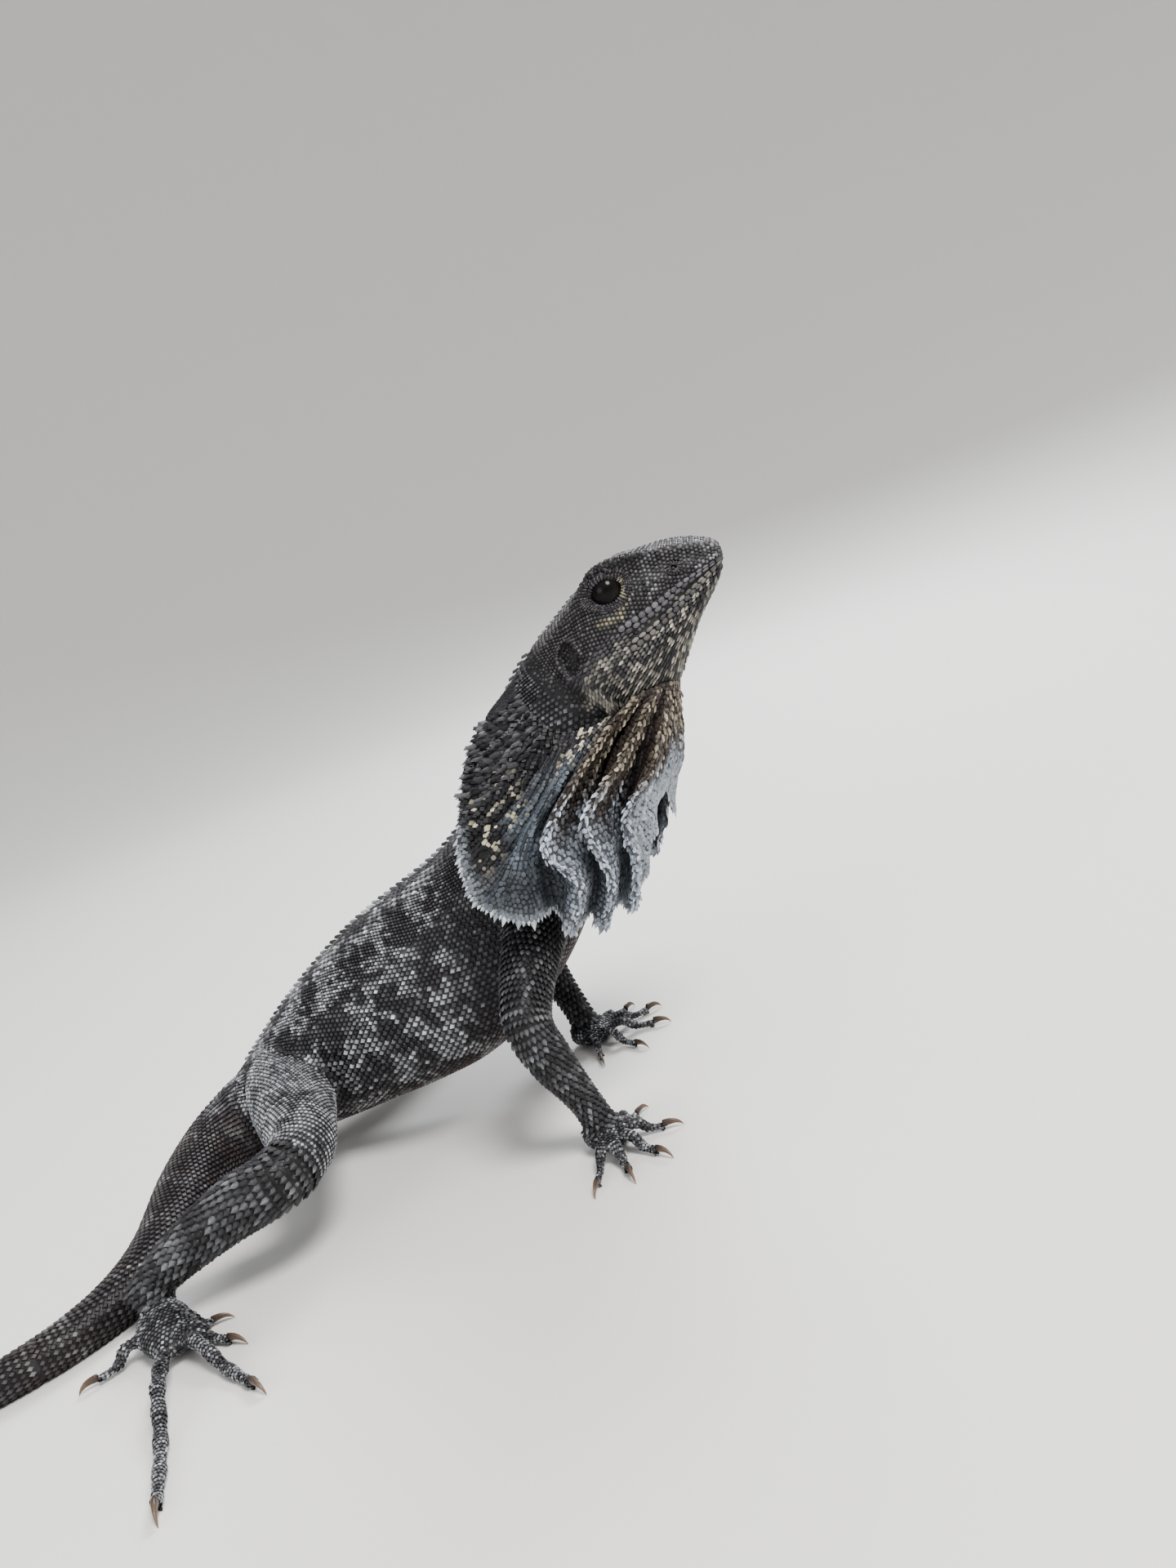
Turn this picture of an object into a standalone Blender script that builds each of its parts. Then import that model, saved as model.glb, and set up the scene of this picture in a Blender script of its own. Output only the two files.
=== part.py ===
# A frilled lizard, life size and still, its forepart raised on both hands and its frill folded.
# Metres, +Z up. It faces +X, its right side is -Y, and hands, feet and tail rest at Z = 0.
# Places below are millimetres from the line of the right palm and the lizard's middle plane.
import bpy
import bmesh
import math
import numpy as np
from mathutils import Matrix, Vector

MM = 0.001
GAP = 0.3

# Driving sizes: where the snout and the tail end. The feet reach equally far to either side.
SNOUT_X = 64.6
TAIL_TIP_X = -489.0
MIDDLE_X = (SNOUT_X + TAIL_TIP_X) / 2

# Lines of the head from the snout back to the ear: forward, out to the side, up
CROWN = ((64.4, 0.0, 125.0), (62.6, 0.0, 127.8), (55.0, 0.0, 130.6), (46.0, 0.0, 131.2), (36.5, 0.0, 129.9),
         (29.0, 0.0, 126.6), (21.5, 0.0, 122.0))
BROW = ((64.2, 1.7, 124.7), (62.3, 4.0, 126.4), (55.3, 6.4, 128.7), (45.5, 9.4, 130.2), (37.0, 12.1, 130.5),
        (30.0, 12.0, 125.9), (22.8, 10.8, 119.8))
CHEEK = ((64.4, 2.1, 123.9), (62.1, 4.6, 124.0), (54.6, 7.7, 124.0), (45.6, 10.9, 122.6), (37.2, 13.2, 120.4),
         (30.6, 15.2, 117.6), (24.0, 16.2, 113.2))
LIP = ((64.2, 2.1, 122.6), (61.2, 4.9, 121.4), (54.4, 8.9, 118.6), (45.2, 12.8, 114.4), (38.2, 15.2, 112.2),
       (32.2, 17.0, 110.0), (26.4, 17.2, 106.8))
JAW = ((63.9, 1.8, 121.5), (60.6, 4.5, 118.6), (53.6, 8.3, 113.7), (46.0, 11.8, 109.2), (40.2, 13.8, 106.2),
       (34.8, 14.9, 103.6), (29.8, 14.4, 100.8))
CHIN = ((63.6, 0.0, 120.9), (60.2, 0.0, 116.6), (54.9, 0.0, 110.8), (50.0, 0.0, 104.0), (46.0, 0.0, 98.4),
        (42.0, 0.0, 94.4), (37.4, 0.0, 91.4))
LIP_GROOVE = 0.8
LIP_BULGE = 0.35
CHEEK_HOLLOW = 0.6
EYE = (36.0, -9.3, 124.6)
EYE_RADIUS = 4.3
LID_LENGTH, LID_HEIGHT, LID_ROLL = 7.4, 5.8, 0.62
LID_STEPS, LID_SIDES = 14, 6
NOSTRIL = (53.4, -7.0, 124.9)
NOSTRIL_SWELL, NOSTRIL_PIT = 1.7, 0.8
EAR = (23.4, -17.4, 112.2)
EAR_SIZE = (2.7, 1.5, 4.0)
LABIAL_COUNT = 10
LABIAL_FIRST, LABIAL_LAST = 0.35, 4.1
NAPE_SPINES = ((21.0, 1.0), (16.0, 1.3), (10.6, 1.2), (6.5, 1.5), (2.0, 1.3))

# Sections of neck and trunk: back (forward, up), belly (forward, up), half width
SPINE = ((13.0, 116.8, 32.6, 89.6, 14.2), (4.5, 109.6, 25.0, 82.6, 13.2), (-3.6, 99.6, 18.0, 74.6, 13.4),
         (-11.6, 88.6, 12.0, 62.0, 15.4), (-20.0, 79.6, 4.0, 47.6, 18.6), (-29.4, 73.4, -7.0, 35.0, 20.8),
         (-40.4, 68.8, -20.0, 24.6, 22.0), (-52.4, 64.4, -33.0, 17.8, 22.4), (-64.4, 59.0, -47.0, 14.4, 22.2),
         (-76.4, 52.2, -61.0, 12.2, 20.8), (-87.6, 45.0, -74.0, 10.0, 18.4), (-98.0, 37.2, -87.0, 7.8, 15.6),
         (-108.0, 29.6, -100.0, 4.6, 13.2), (-116.0, 25.0, -111.0, 1.4, 11.8))
NECK_END, TORSO_END = 3, 12

# The tail on the floor: along, across, half width, half height
TAIL = ((-104.0, 0.0, 13.0, 12.5), (-111.5, -2.0, 12.4, 12.0), (-117.0, -7.5, 11.6, 11.2),
        (-119.4, -16.0, 10.7, 10.4), (-119.4, -27.0, 9.7, 9.5), (-117.4, -39.0, 8.7, 8.5),
        (-115.8, -50.0, 7.8, 7.6), (-116.4, -61.0, 6.9, 6.7), (-120.6, -72.0, 6.0, 5.8),
        (-129.4, -83.0, 5.3, 5.1), (-143.0, -93.0, 4.8, 4.6), (-163.0, -99.6, 4.4, 4.2),
        (-193.0, -102.4, 4.1, 3.9), (-232.0, -101.0, 3.7, 3.5), (-274.0, -96.6, 3.3, 3.1),
        (-320.0, -91.0, 2.8, 2.7), (-367.0, -86.4, 2.3, 2.2), (-412.0, -83.4, 1.8, 1.7),
        (-453.0, -82.4, 1.3, 1.3), (-489.0, -83.2, 0.6, 0.7))
TAIL_CUTS = (0, 5, 9, 12, 15, 19)
TAIL_STEPS = 2
TAIL_DROP = 4.0
TAIL_SIT = 0.10

# Limbs: along, out to the side, up, half width. Each is parted at its elbow or knee and, one
# place before its end, at its wrist or ankle.
RIGHT_ARM = ((-4.0, -9.0, 56.0, 9.2), (-6.0, -20.0, 50.6, 8.0), (-8.0, -31.0, 43.4, 6.8), (-8.6, -38.6, 36.0, 6.0),
             (-6.4, -38.4, 26.0, 5.5), (-4.2, -36.6, 17.6, 4.4), (-2.6, -35.4, 11.4, 4.0), (-1.2, -35.2, 5.4, 4.1))
LEFT_ARM = ((-4.0, 9.0, 56.0, 9.2), (-9.0, 20.0, 49.6, 8.0), (-17.0, 30.0, 42.0, 6.8), (-23.4, 35.0, 34.6, 6.0),
            (-23.6, 33.0, 25.0, 5.5), (-20.4, 29.8, 17.4, 4.4), (-18.0, 28.0, 11.4, 4.0), (-16.2, 26.8, 5.4, 4.1))
RIGHT_LEG = ((-92.0, -6.0, 25.0, 12.4), (-85.0, -20.0, 25.0, 12.0), (-76.0, -36.0, 25.4, 10.4),
             (-68.4, -50.0, 25.0, 8.2), (-70.0, -60.0, 23.4, 7.4), (-82.4, -65.4, 20.4, 7.0),
             (-95.0, -69.4, 15.4, 5.8), (-102.4, -72.0, 11.4, 4.9), (-107.0, -74.4, 7.6, 4.6))
ELBOW, KNEE = 3.0, 3.6
LIMB_RINGS, LIMB_FLAT = 7, 0.94
# Hands and feet: where the palm lies, its half sizes and turn, and each digit's tip (along, across) and thickness
RIGHT_HAND = dict(palm=(-0.6, -35.4, 3.5), size=(6.8, 6.0, 3.8), turn=-46.0,
                  tips=((-0.8, -58.4, 1.35), (8.6, -55.6, 1.5), (16.8, -48.0, 1.5), (18.0, -33.4, 1.4),
                        (7.2, -20.6, 1.25)))
LEFT_HAND = dict(palm=(-15.4, 26.4, 3.5), size=(6.8, 6.0, 3.8), turn=-10.0,
                 tips=((-5.8, 46.4, 1.35), (3.6, 40.8, 1.5), (8.2, 27.4, 1.5), (3.2, 12.8, 1.4),
                       (-9.4, 8.2, 1.25)))
RIGHT_FOOT = dict(palm=(-98.4, -80.6, 4.0), size=(12.4, 6.6, 4.4), turn=-48.0,
                  tips=((-115.0, -93.6, 1.45), (-69.8, -135.0, 1.75), (-62.4, -104.4, 1.7), (-75.6, -86.4, 1.5),
                        (-84.4, -75.4, 1.3)))
DIGIT_ARCH = 2.4
CLAW_LENGTH = 4.6

# The folded frill's right half: lines from its root to its edge, from the nape round to the throat.
# The folds stand out at the crests and lie in toward the neck at the hollows.
FRILL_LINES = (
    ((8.6, -4.0, 111.2), (0.0, -6.4, 105.2)),
    ((9.4, -8.6, 106.0), (-4.0, -13.6, 100.6)),
    ((11.0, -11.4, 101.0), (2.0, -17.6, 96.0), (-8.0, -20.6, 93.6)),
    ((13.5, -12.2, 97.2), (4.5, -21.0, 91.5), (-2.5, -25.5, 87.5), (-10.4, -27.0, 85.4)),
    ((16.5, -12.4, 95.6), (6.0, -22.0, 86.0), (-6.0, -29.0, 79.0), (-13.4, -31.0, 75.4)),
    ((19.5, -12.3, 95.2), (9.5, -20.5, 84.0), (-2.0, -27.5, 73.0), (-12.4, -34.0, 67.0)),
    ((22.5, -12.0, 95.4), (13.5, -25.0, 86.5), (2.0, -31.0, 76.0), (-7.0, -36.0, 62.6)),
    ((26.6, -11.0, 96.0), (17.0, -25.0, 88.0), (3.0, -32.0, 74.0), (-0.4, -35.4, 58.8)),
    ((31.6, -10.0, 97.2), (20.2, -18.6, 88.5), (8.0, -24.4, 76.0), (4.6, -28.0, 59.6)),
    ((37.2, -9.6, 99.4), (24.6, -25.0, 91.5), (8.8, -40.0, 75.6), (14.0, -35.0, 63.6), (6.1, -31.0, 51.5)),
    ((39.4, -9.2, 98.8), (26.4, -13.6, 88.5), (18.4, -18.2, 72.0), (11.0, -21.0, 54.0)),
    ((41.4, -7.6, 99.2), (29.0, -24.0, 86.0), (18.6, -36.0, 77.9), (19.6, -31.0, 61.4), (12.3, -27.0, 49.2)),
    ((42.6, -6.2, 99.0), (32.4, -11.0, 86.0), (25.0, -14.5, 70.0), (17.6, -17.5, 54.0)),
    ((43.6, -4.8, 98.7), (35.2, -17.5, 81.9), (26.7, -29.0, 74.3), (25.6, -26.5, 61.0), (20.4, -22.0, 50.4)),
    ((44.2, -3.6, 98.3), (36.6, -12.0, 82.0), (31.0, -20.5, 74.0), (29.4, -20.0, 65.4)),
    ((44.6, -2.2, 97.8), (38.2, -6.8, 84.0), (31.4, -9.6, 72.0)),
    ((44.4, -0.4, 97.0), (39.8, -0.4, 79.5), (33.5, -0.4, 73.0)))
# The left half's own lobe, which hangs lower beyond the throat
FAR_LOBE_LINE, FAR_LOBE = 15, ((44.6, -2.2, 97.8), (38.2, -6.8, 84.0), (31.8, -8.0, 63.6))
FRILL_STEPS, FRILL_ROWS = 3, 7
FRILL_THICK = 0.7
FRILL_TOOTH = 1.3

SKIN_DARK = (0.050, 0.045, 0.043)
SKIN_PALE = (0.300, 0.280, 0.250)
FRILL_TONE = (0.115, 0.120, 0.125)
EYE_TONE = (0.012, 0.010, 0.009)


def clear_scene():
    for thing in list(bpy.data.objects):
        bpy.data.objects.remove(thing, do_unlink=True)


def material(name, colour, roughness):
    made = bpy.data.materials.new(name)
    made.use_nodes = True
    shader = made.node_tree.nodes["Principled BSDF"]
    shader.inputs["Base Color"].default_value = (*colour, 1.0)
    shader.inputs["Roughness"].default_value = roughness
    shader.inputs["Metallic"].default_value = 0.0
    return made


def placed(point):
    return Vector((point[0] - MIDDLE_X, point[1], point[2])) * MM


def new_object(name, verts, faces, folder):
    mesh = bpy.data.meshes.new(name)
    mesh.from_pydata([placed(v) for v in verts], [], faces)
    made = bpy.data.objects.new(name, mesh)
    folder.objects.link(made)
    face_out(made)
    return made


def face_out(thing):
    shape = bmesh.new()
    shape.from_mesh(thing.data)
    bmesh.ops.recalc_face_normals(shape, faces=shape.faces)
    shape.to_mesh(thing.data)
    shape.free()


def loft(name, rings, folder):
    """A closed solid through rings of equal count, with flat ends."""
    count = len(rings[0])
    verts = [point for ring in rings for point in ring]
    faces = [tuple(range(count))]
    for row in range(len(rings) - 1):
        for k in range(count):
            a, b = row * count + k, row * count + (k + 1) % count
            faces.append((a, b, b + count, a + count))
    faces.append(tuple(range(len(verts) - count, len(verts))))
    return new_object(name, verts, faces, folder)


def along(points, where):
    """Values on a smooth curve through the points, at places counted in points."""
    knots = np.array(points, float)
    ends = np.vstack([2 * knots[0] - knots[1], knots, 2 * knots[-1] - knots[-2], 3 * knots[-1] - 2 * knots[-2]])
    values = []
    for place in where:
        i = min(int(place), len(knots) - 1)
        t = place - i
        a, b, c, d = ends[i:i + 4]
        values.append(b + 0.5 * t * (c - a + t * (2 * a - 5 * b + 4 * c - d + t * (3 * b - a - 3 * c + d))))
    return np.array(values)


def even(points, count):
    """Points spaced evenly by length along the smooth curve."""
    fine = along(points, np.linspace(0, len(points) - 1, 24 * len(points)))
    steps = np.linalg.norm(np.diff(fine[:, :3], axis=0), axis=1)
    travelled = np.concatenate([[0.0], np.cumsum(steps)])
    wanted = np.linspace(0.0, travelled[-1], count)
    return np.array([np.interp(wanted, travelled, column) for column in fine.T]).T


def rings_on(path, widths, heights, sides, up):
    """Rings square to a path, each from its top round, their width square to the reference direction."""
    path = np.array(path, float)
    tangents = np.gradient(path, axis=0)
    rings = []
    for centre, tangent, wide, high in zip(path, tangents, widths, heights):
        forward = Vector(tangent).normalized()
        side = Vector(up).cross(forward).normalized()
        top = forward.cross(side)
        ring = []
        for k in range(sides):
            angle = math.pi / 2 - 2 * math.pi * k / sides
            ring.append(Vector(centre) + side * wide * math.cos(angle) + top * high * math.sin(angle))
        rings.append(ring)
    return rings


def shifted(ring, distance):
    """A flat ring moved along its own axis."""
    third = len(ring) // 3
    axis = (ring[third] - ring[0]).cross(ring[2 * third] - ring[0]).normalized()
    return [point + axis * distance for point in ring]


def parted(rings, start, end):
    """The rings with half a gap taken off at each parted end."""
    toward = rings[1][0] + rings[1][len(rings[1]) // 2] - rings[0][0] - rings[0][len(rings[0]) // 2]
    third = len(rings[0]) // 3
    axis = (rings[0][third] - rings[0][0]).cross(rings[0][2 * third] - rings[0][0])
    sense = 1.0 if axis.dot(toward) > 0 else -1.0
    if start:
        rings[0] = shifted(rings[0], sense * GAP / 2)
    if end:
        rings[-1] = shifted(rings[-1], -sense * GAP / 2)
    return rings


def fuse(name, pieces, folder):
    """One closed node from overlapping pieces."""
    group = bpy.data.collections.new(name + "_pieces")
    for piece in pieces[1:]:
        group.objects.link(piece)
    base = pieces[0]
    joining = base.modifiers.new("join", "BOOLEAN")
    joining.operation = "UNION"
    joining.operand_type = "COLLECTION"
    joining.collection = group
    mesh = evaluated(base)
    for piece in pieces:
        bpy.data.objects.remove(piece, do_unlink=True)
    bpy.data.collections.remove(group)
    return keep_largest(name, mesh, folder)


def evaluated(thing):
    bpy.context.view_layer.update()
    return bpy.data.meshes.new_from_object(thing.evaluated_get(bpy.context.evaluated_depsgraph_get()))


def keep_largest(name, mesh, folder):
    """A node of the mesh's largest closed surface."""
    shape = bmesh.new()
    shape.from_mesh(mesh)
    bmesh.ops.remove_doubles(shape, verts=shape.verts, dist=0.0000005)
    bmesh.ops.triangulate(shape, faces=shape.faces)
    left = set(shape.faces)
    largest = []
    while left:
        patch, waiting = [], [left.pop()]
        while waiting:
            face = waiting.pop()
            patch.append(face)
            for edge in face.edges:
                for other in edge.link_faces:
                    if other in left:
                        left.remove(other)
                        waiting.append(other)
        if len(patch) > len(largest):
            largest = patch
    kept = set(largest)
    bmesh.ops.delete(shape, geom=[face for face in shape.faces if face not in kept], context="FACES")
    made = bpy.data.meshes.new(name)
    shape.to_mesh(made)
    shape.free()
    node = bpy.data.objects.new(name, made)
    folder.objects.link(node)
    return node


def cut(node, cutters, folder):
    """The node with each cutter taken out of it."""
    name = node.name
    for cutter in cutters:
        taking = node.modifiers.new("cut", "BOOLEAN")
        taking.operation = "DIFFERENCE"
        taking.object = cutter
    mesh = evaluated(node)
    for thing in [node, *cutters]:
        bpy.data.objects.remove(thing, do_unlink=True)
    return keep_largest(name, mesh, folder)


def grown(thing, distance, folder):
    """A copy whose surface stands off by the distance."""
    copy = bpy.data.objects.new(thing.name + "_clear", thing.data.copy())
    folder.objects.link(copy)
    shape = bmesh.new()
    shape.from_mesh(copy.data)
    shape.normal_update()
    for vert in shape.verts:
        vert.co += vert.normal * distance * MM
    shape.to_mesh(copy.data)
    shape.free()
    return copy


def copies_of(things, folder):
    copies = [thing.copy() for thing in things]
    for copy in copies:
        folder.objects.link(copy)
    return copies


def ball(name, centre, radii, turn, folder, columns=12, rows=8):
    shape = bmesh.new()
    size = Matrix.Diagonal((*[r * MM for r in radii], 1.0))
    where = Matrix.Translation(placed(centre)) @ turn.to_4x4() @ size
    bmesh.ops.create_uvsphere(shape, u_segments=columns, v_segments=rows, radius=1.0, matrix=where)
    mesh = bpy.data.meshes.new(name)
    shape.to_mesh(mesh)
    shape.free()
    made = bpy.data.objects.new(name, mesh)
    folder.objects.link(made)
    return made


def floor_slab(folder):
    shape = bmesh.new()
    where = Matrix.Translation(Vector((0.0, 0.0, -0.02))) @ Matrix.Diagonal((1.0, 1.0, 0.04, 1.0))
    bmesh.ops.create_cube(shape, size=1.0, matrix=where)
    mesh = bpy.data.meshes.new("floor_slab")
    shape.to_mesh(mesh)
    shape.free()
    made = bpy.data.objects.new("floor_slab", mesh)
    folder.objects.link(made)
    return made


def mirrored(point, side):
    return (point[0], point[1] * side, point[2])


# Trunk and neck

def body_half(back_x, back_up, belly_x, belly_up, wide, points):
    """Half a section from the back round the right side to the belly."""
    back, belly = Vector((back_x, 0, back_up)), Vector((belly_x, 0, belly_up))
    middle, rise = (back + belly) / 2, (back - belly) / 2
    half = []
    for k in range(points):
        angle = math.pi / 2 - math.pi * k / (points - 1)
        power = 0.92 if angle > 0 else 0.80
        across = wide * abs(math.cos(angle)) ** power if abs(math.cos(angle)) > 1e-6 else 0.0
        half.append(middle + rise * math.sin(angle) + Vector((0, -across, 0)))
    return half


def closed_ring(half):
    """A whole ring from its right half."""
    other = [Vector((p.x, -p.y, p.z)) for p in half[1:-1]]
    return list(half) + other[::-1]


def body_rings(first, last, count, points=14):
    return [closed_ring(body_half(*values, points)) for values in along(SPINE, np.linspace(first, last, count))]


def make_neck(folder):
    return loft("neck", parted(body_rings(0, NECK_END, 9), True, True), folder)


def make_torso(folder):
    return loft("torso", parted(body_rings(NECK_END, TORSO_END, 22), True, True), folder)


# Tail

def tail_rings(sides):
    """Rings down the whole tail, from the height of the hips to the floor."""
    where = np.linspace(0, len(TAIL) - 1, (len(TAIL) - 1) * TAIL_STEPS + 1)
    values = along(TAIL, where)
    start = along(SPINE, [TORSO_END])[0]
    hips_up = (start[1] + start[3]) / 2
    lift = values[:, 3] * (1 - TAIL_SIT)
    lift = lift + (hips_up - lift[0]) * np.clip(1 - where / TAIL_DROP, 0.0, 1.0) ** 2
    path = np.column_stack([values[:, 0], values[:, 1], lift])
    rings = rings_on(path, values[:, 2], values[:, 3], sides, (0, 0, 1))
    for ring in rings:
        for point in ring:
            point.z = max(point.z, 0.0)
    return rings


def make_tail(folder):
    rings = tail_rings(14)
    rings[0] = closed_ring(body_half(*along(SPINE, [TORSO_END])[0], 8))
    lengths = []
    for number, (first, last) in enumerate(zip(TAIL_CUTS, TAIL_CUTS[1:]), 1):
        part = rings[first * TAIL_STEPS:last * TAIL_STEPS + 1]
        part = parted(part, True, number < len(TAIL_CUTS) - 1)
        lengths.append(loft("tail_%d" % number, part, folder))
    return lengths


# Head

def head_half(crown, brow, cheek, lip, jaw, chin, groove):
    """Half a section of the head, with the fold of the mouth in it."""
    crown, brow, cheek, lip, jaw, chin = [Vector((p[0], -p[1], p[2])) for p in (crown, brow, cheek, lip, jaw, chin)]
    out = Vector((0, -1, 0))
    above, below = lip.lerp(cheek, 0.18) + out * LIP_BULGE * groove, lip.lerp(jaw, 0.24) + out * LIP_BULGE * groove
    top = crown.lerp(brow, 0.6) + (crown - chin).normalized() * 0.25
    side = brow.lerp(cheek, 0.5) - out * CHEEK_HOLLOW
    face = cheek.lerp(lip, 0.5) + out * 0.3
    fold = lip - out * LIP_GROOVE * groove
    under = jaw.lerp(chin, 0.36) + (jaw - crown).normalized() * 1.2
    low = jaw.lerp(chin, 0.70) + (jaw - crown).normalized() * 1.4
    return [crown, top, brow, side, cheek, face, above, fold, below, below.lerp(jaw, 0.55), jaw, under, low, chin]


def head_rings(count):
    rings = []
    stations = [list(p) for p in (CROWN, BROW, CHEEK, LIP, JAW, CHIN)]
    last = len(CROWN) - 1
    back = body_half(*SPINE[0], 14)
    for place in np.linspace(0, last + 1, count):
        held = min(place, last)
        lines = [along(line, [held])[0] for line in stations]
        groove = min(1.0, max(0.0, (last - 0.4 - held) / 1.2))
        half = head_half(*lines, groove)
        if place > last:
            half = [p.lerp(q, place - last) for p, q in zip(half, back)]
        rings.append(closed_ring(half))
    return rings


def lid_ring(folder, side):
    """A rolled rim round the eye, pointed fore and aft."""
    centre = Vector(mirrored(EYE, -side))
    out = Vector((0.16, -1.0, 0.02)).normalized()
    out.y *= -side
    forward = Vector((1.0, 0.0, 0.14))
    forward = (forward - out * forward.dot(out)).normalized()
    up = out.cross(forward) * side
    path = []
    for k in range(LID_STEPS):
        angle = 2 * math.pi * k / LID_STEPS
        point = centre + forward * LID_LENGTH / 2 * math.cos(angle) + up * LID_HEIGHT / 2 * math.sin(angle)
        depth = math.sqrt(max(0.0, (EYE_RADIUS + 0.55) ** 2 - (point - centre).length_squared))
        path.append(point + out * depth)
    rings = []
    for k, point in enumerate(path):
        forth = (path[(k + 1) % LID_STEPS] - path[k - 1]).normalized()
        away = (point - centre).normalized()
        across = forth.cross(away).normalized()
        rings.append([point + away * LID_ROLL * math.cos(a) + across * LID_ROLL * 1.3 * math.sin(a)
                      for a in np.linspace(0, 2 * math.pi, LID_SIDES, endpoint=False)])
    verts = [p for ring in rings for p in ring]
    faces = []
    for row in range(LID_STEPS):
        for k in range(LID_SIDES):
            a, b = row * LID_SIDES + k, row * LID_SIDES + (k + 1) % LID_SIDES
            below = (row + 1) % LID_STEPS * LID_SIDES
            faces.append((a, b, below + (k + 1) % LID_SIDES, below + k))
    return new_object("lid", verts, faces, folder)


def labial_scutes(folder, side):
    """The large scales along both lips."""
    scutes = []
    for drop, size in ((1.55, 1.45), (-1.5, 1.3)):
        for k in range(LABIAL_COUNT):
            place = LABIAL_FIRST + (LABIAL_LAST - LABIAL_FIRST) * k / (LABIAL_COUNT - 1)
            lip = along(LIP, [place])[0]
            centre = Vector((lip[0], (lip[1] - 0.5) * side, lip[2] + drop))
            big = size * (1.0 - 0.04 * abs(k - 4))
            scutes.append(ball("scute", centre, (big * 1.15, big * 0.8, big), Matrix.Identity(3), folder, 5, 4))
    return scutes


def nape_spines(folder):
    """Small spines down the middle of the nape."""
    spines = []
    for forward, tall in NAPE_SPINES:
        if forward > 13.0:
            k = (CROWN[-1][0] - forward) / (CROWN[-1][0] - SPINE[0][0])
            up = CROWN[-1][2] + (SPINE[0][1] - CROWN[-1][2]) * min(1.0, max(0.0, k))
            spines.append(("head", spine((forward, 0, up), tall, folder)))
        else:
            backs = along(SPINE, np.linspace(0, 2, 41))
            up = float(np.interp(-forward, -backs[:, 0], backs[:, 1]))
            spines.append(("neck", spine((forward, 0, up), tall, folder)))
    return spines


def spine(root, tall, folder):
    shape = bmesh.new()
    lean = Matrix.Rotation(math.radians(-62), 4, "Y")
    where = Matrix.Translation(placed(root)) @ lean @ Matrix.Translation(Vector((0, 0, tall * 0.25 * MM)))
    bmesh.ops.create_cone(shape, cap_ends=True, segments=5, radius1=0.75 * tall * MM, radius2=0.12 * MM,
                          depth=2.4 * tall * MM, matrix=where)
    mesh = bpy.data.meshes.new("spine")
    shape.to_mesh(mesh)
    shape.free()
    made = bpy.data.objects.new("spine", mesh)
    folder.objects.link(made)
    return made


def make_head(folder, spines):
    plain = loft("head", parted(head_rings(21), False, True), folder)
    clear = grown(plain, GAP, folder)
    swell = [ball("nostril", mirrored(NOSTRIL, side), (1.9, NOSTRIL_SWELL, 1.7), Matrix.Identity(3), folder, 8, 6)
             for side in (1, -1)]
    lids = [lid_ring(folder, side) for side in (-1, 1)]
    scutes = labial_scutes(folder, -1) + labial_scutes(folder, 1)
    whole = fuse("head", [plain, *lids, *swell, *scutes, *spines], folder)
    cutters = []
    for side in (1, -1):
        socket = EYE_RADIUS + GAP
        cutters.append(ball("socket", mirrored(EYE, side), (socket, socket, socket), Matrix.Identity(3), folder, 12, 8))
        pit = Vector(mirrored(NOSTRIL, side)) + Vector((0.3, -1.4 * side, 0.1))
        cutters.append(ball("pit", pit, (NOSTRIL_PIT, 1.6, NOSTRIL_PIT), Matrix.Identity(3), folder, 8, 6))
        lean = Matrix.Rotation(math.radians(22), 3, "Y") @ Matrix.Rotation(math.radians(-14 * side), 3, "Z")
        cutters.append(ball("ear", mirrored(EAR, side), EAR_SIZE, lean, folder, 12, 8))
    return cut(whole, cutters, folder), clear


# Limbs

def limb(names, line, joint, folder):
    """Upper and lower lengths of a limb and the start of its hand or foot, parted across the line."""
    end = len(line) - 1
    where = np.concatenate([np.linspace(0, joint, LIMB_RINGS), np.linspace(joint, end - 1, LIMB_RINGS)[1:],
                            np.linspace(end - 1, end, 3)[1:]])
    values = along(line, where)
    rings = rings_on(values[:, :3], values[:, 3], values[:, 3] * LIMB_FLAT, 12, (1, 0, 0.2))
    joint_at, wrist_at = LIMB_RINGS - 1, 2 * LIMB_RINGS - 2
    lengths = [rings[:joint_at + 1], rings[joint_at:wrist_at + 1], rings[wrist_at:]]
    return [loft(name, parted(list(part), True, number < 2), folder)
            for number, (name, part) in enumerate(zip((*names, "wrist"), lengths))]


def digit(root, tip, thick, folder):
    """A finger or toe from the palm to its claw, arched and set down on the floor."""
    root, tip = Vector(root), Vector((*tip, 0.0))
    reach = Vector((tip.x - root.x, tip.y - root.y, 0))
    level = reach.normalized()
    nail = tip - level * CLAW_LENGTH
    rise = DIGIT_ARCH + 0.03 * reach.length
    points = [(*root[:3], thick * 1.1), (*(root + reach * 0.30 + Vector((0, 0, rise * 0.30)))[:3], thick * 1.05),
              (*(root.lerp(nail, 0.62) + Vector((0, 0, rise * 0.10)))[:3], thick),
              (nail.x, nail.y, thick * 0.86, thick * 0.86)]
    path = even(points, 6)
    rings = rings_on(path[:, :3], path[:, 3], path[:, 3], 5, (0, 0, 1))
    bent = [(nail - level * 1.2 + Vector((0, 0, thick * 1.0))), nail + level * 1.0 + Vector((0, 0, thick * 1.25)),
            nail + level * 3.2 + Vector((0, 0, thick * 0.95)), tip + Vector((0, 0, 0.45))]
    claw = rings_on([tuple(p) for p in bent], (1.15, 1.0, 0.62, 0.14), (1.3, 1.15, 0.7, 0.16), 5, (0, 0, 1))
    return loft("digit", rings, folder), loft("claw", claw, folder)


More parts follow.
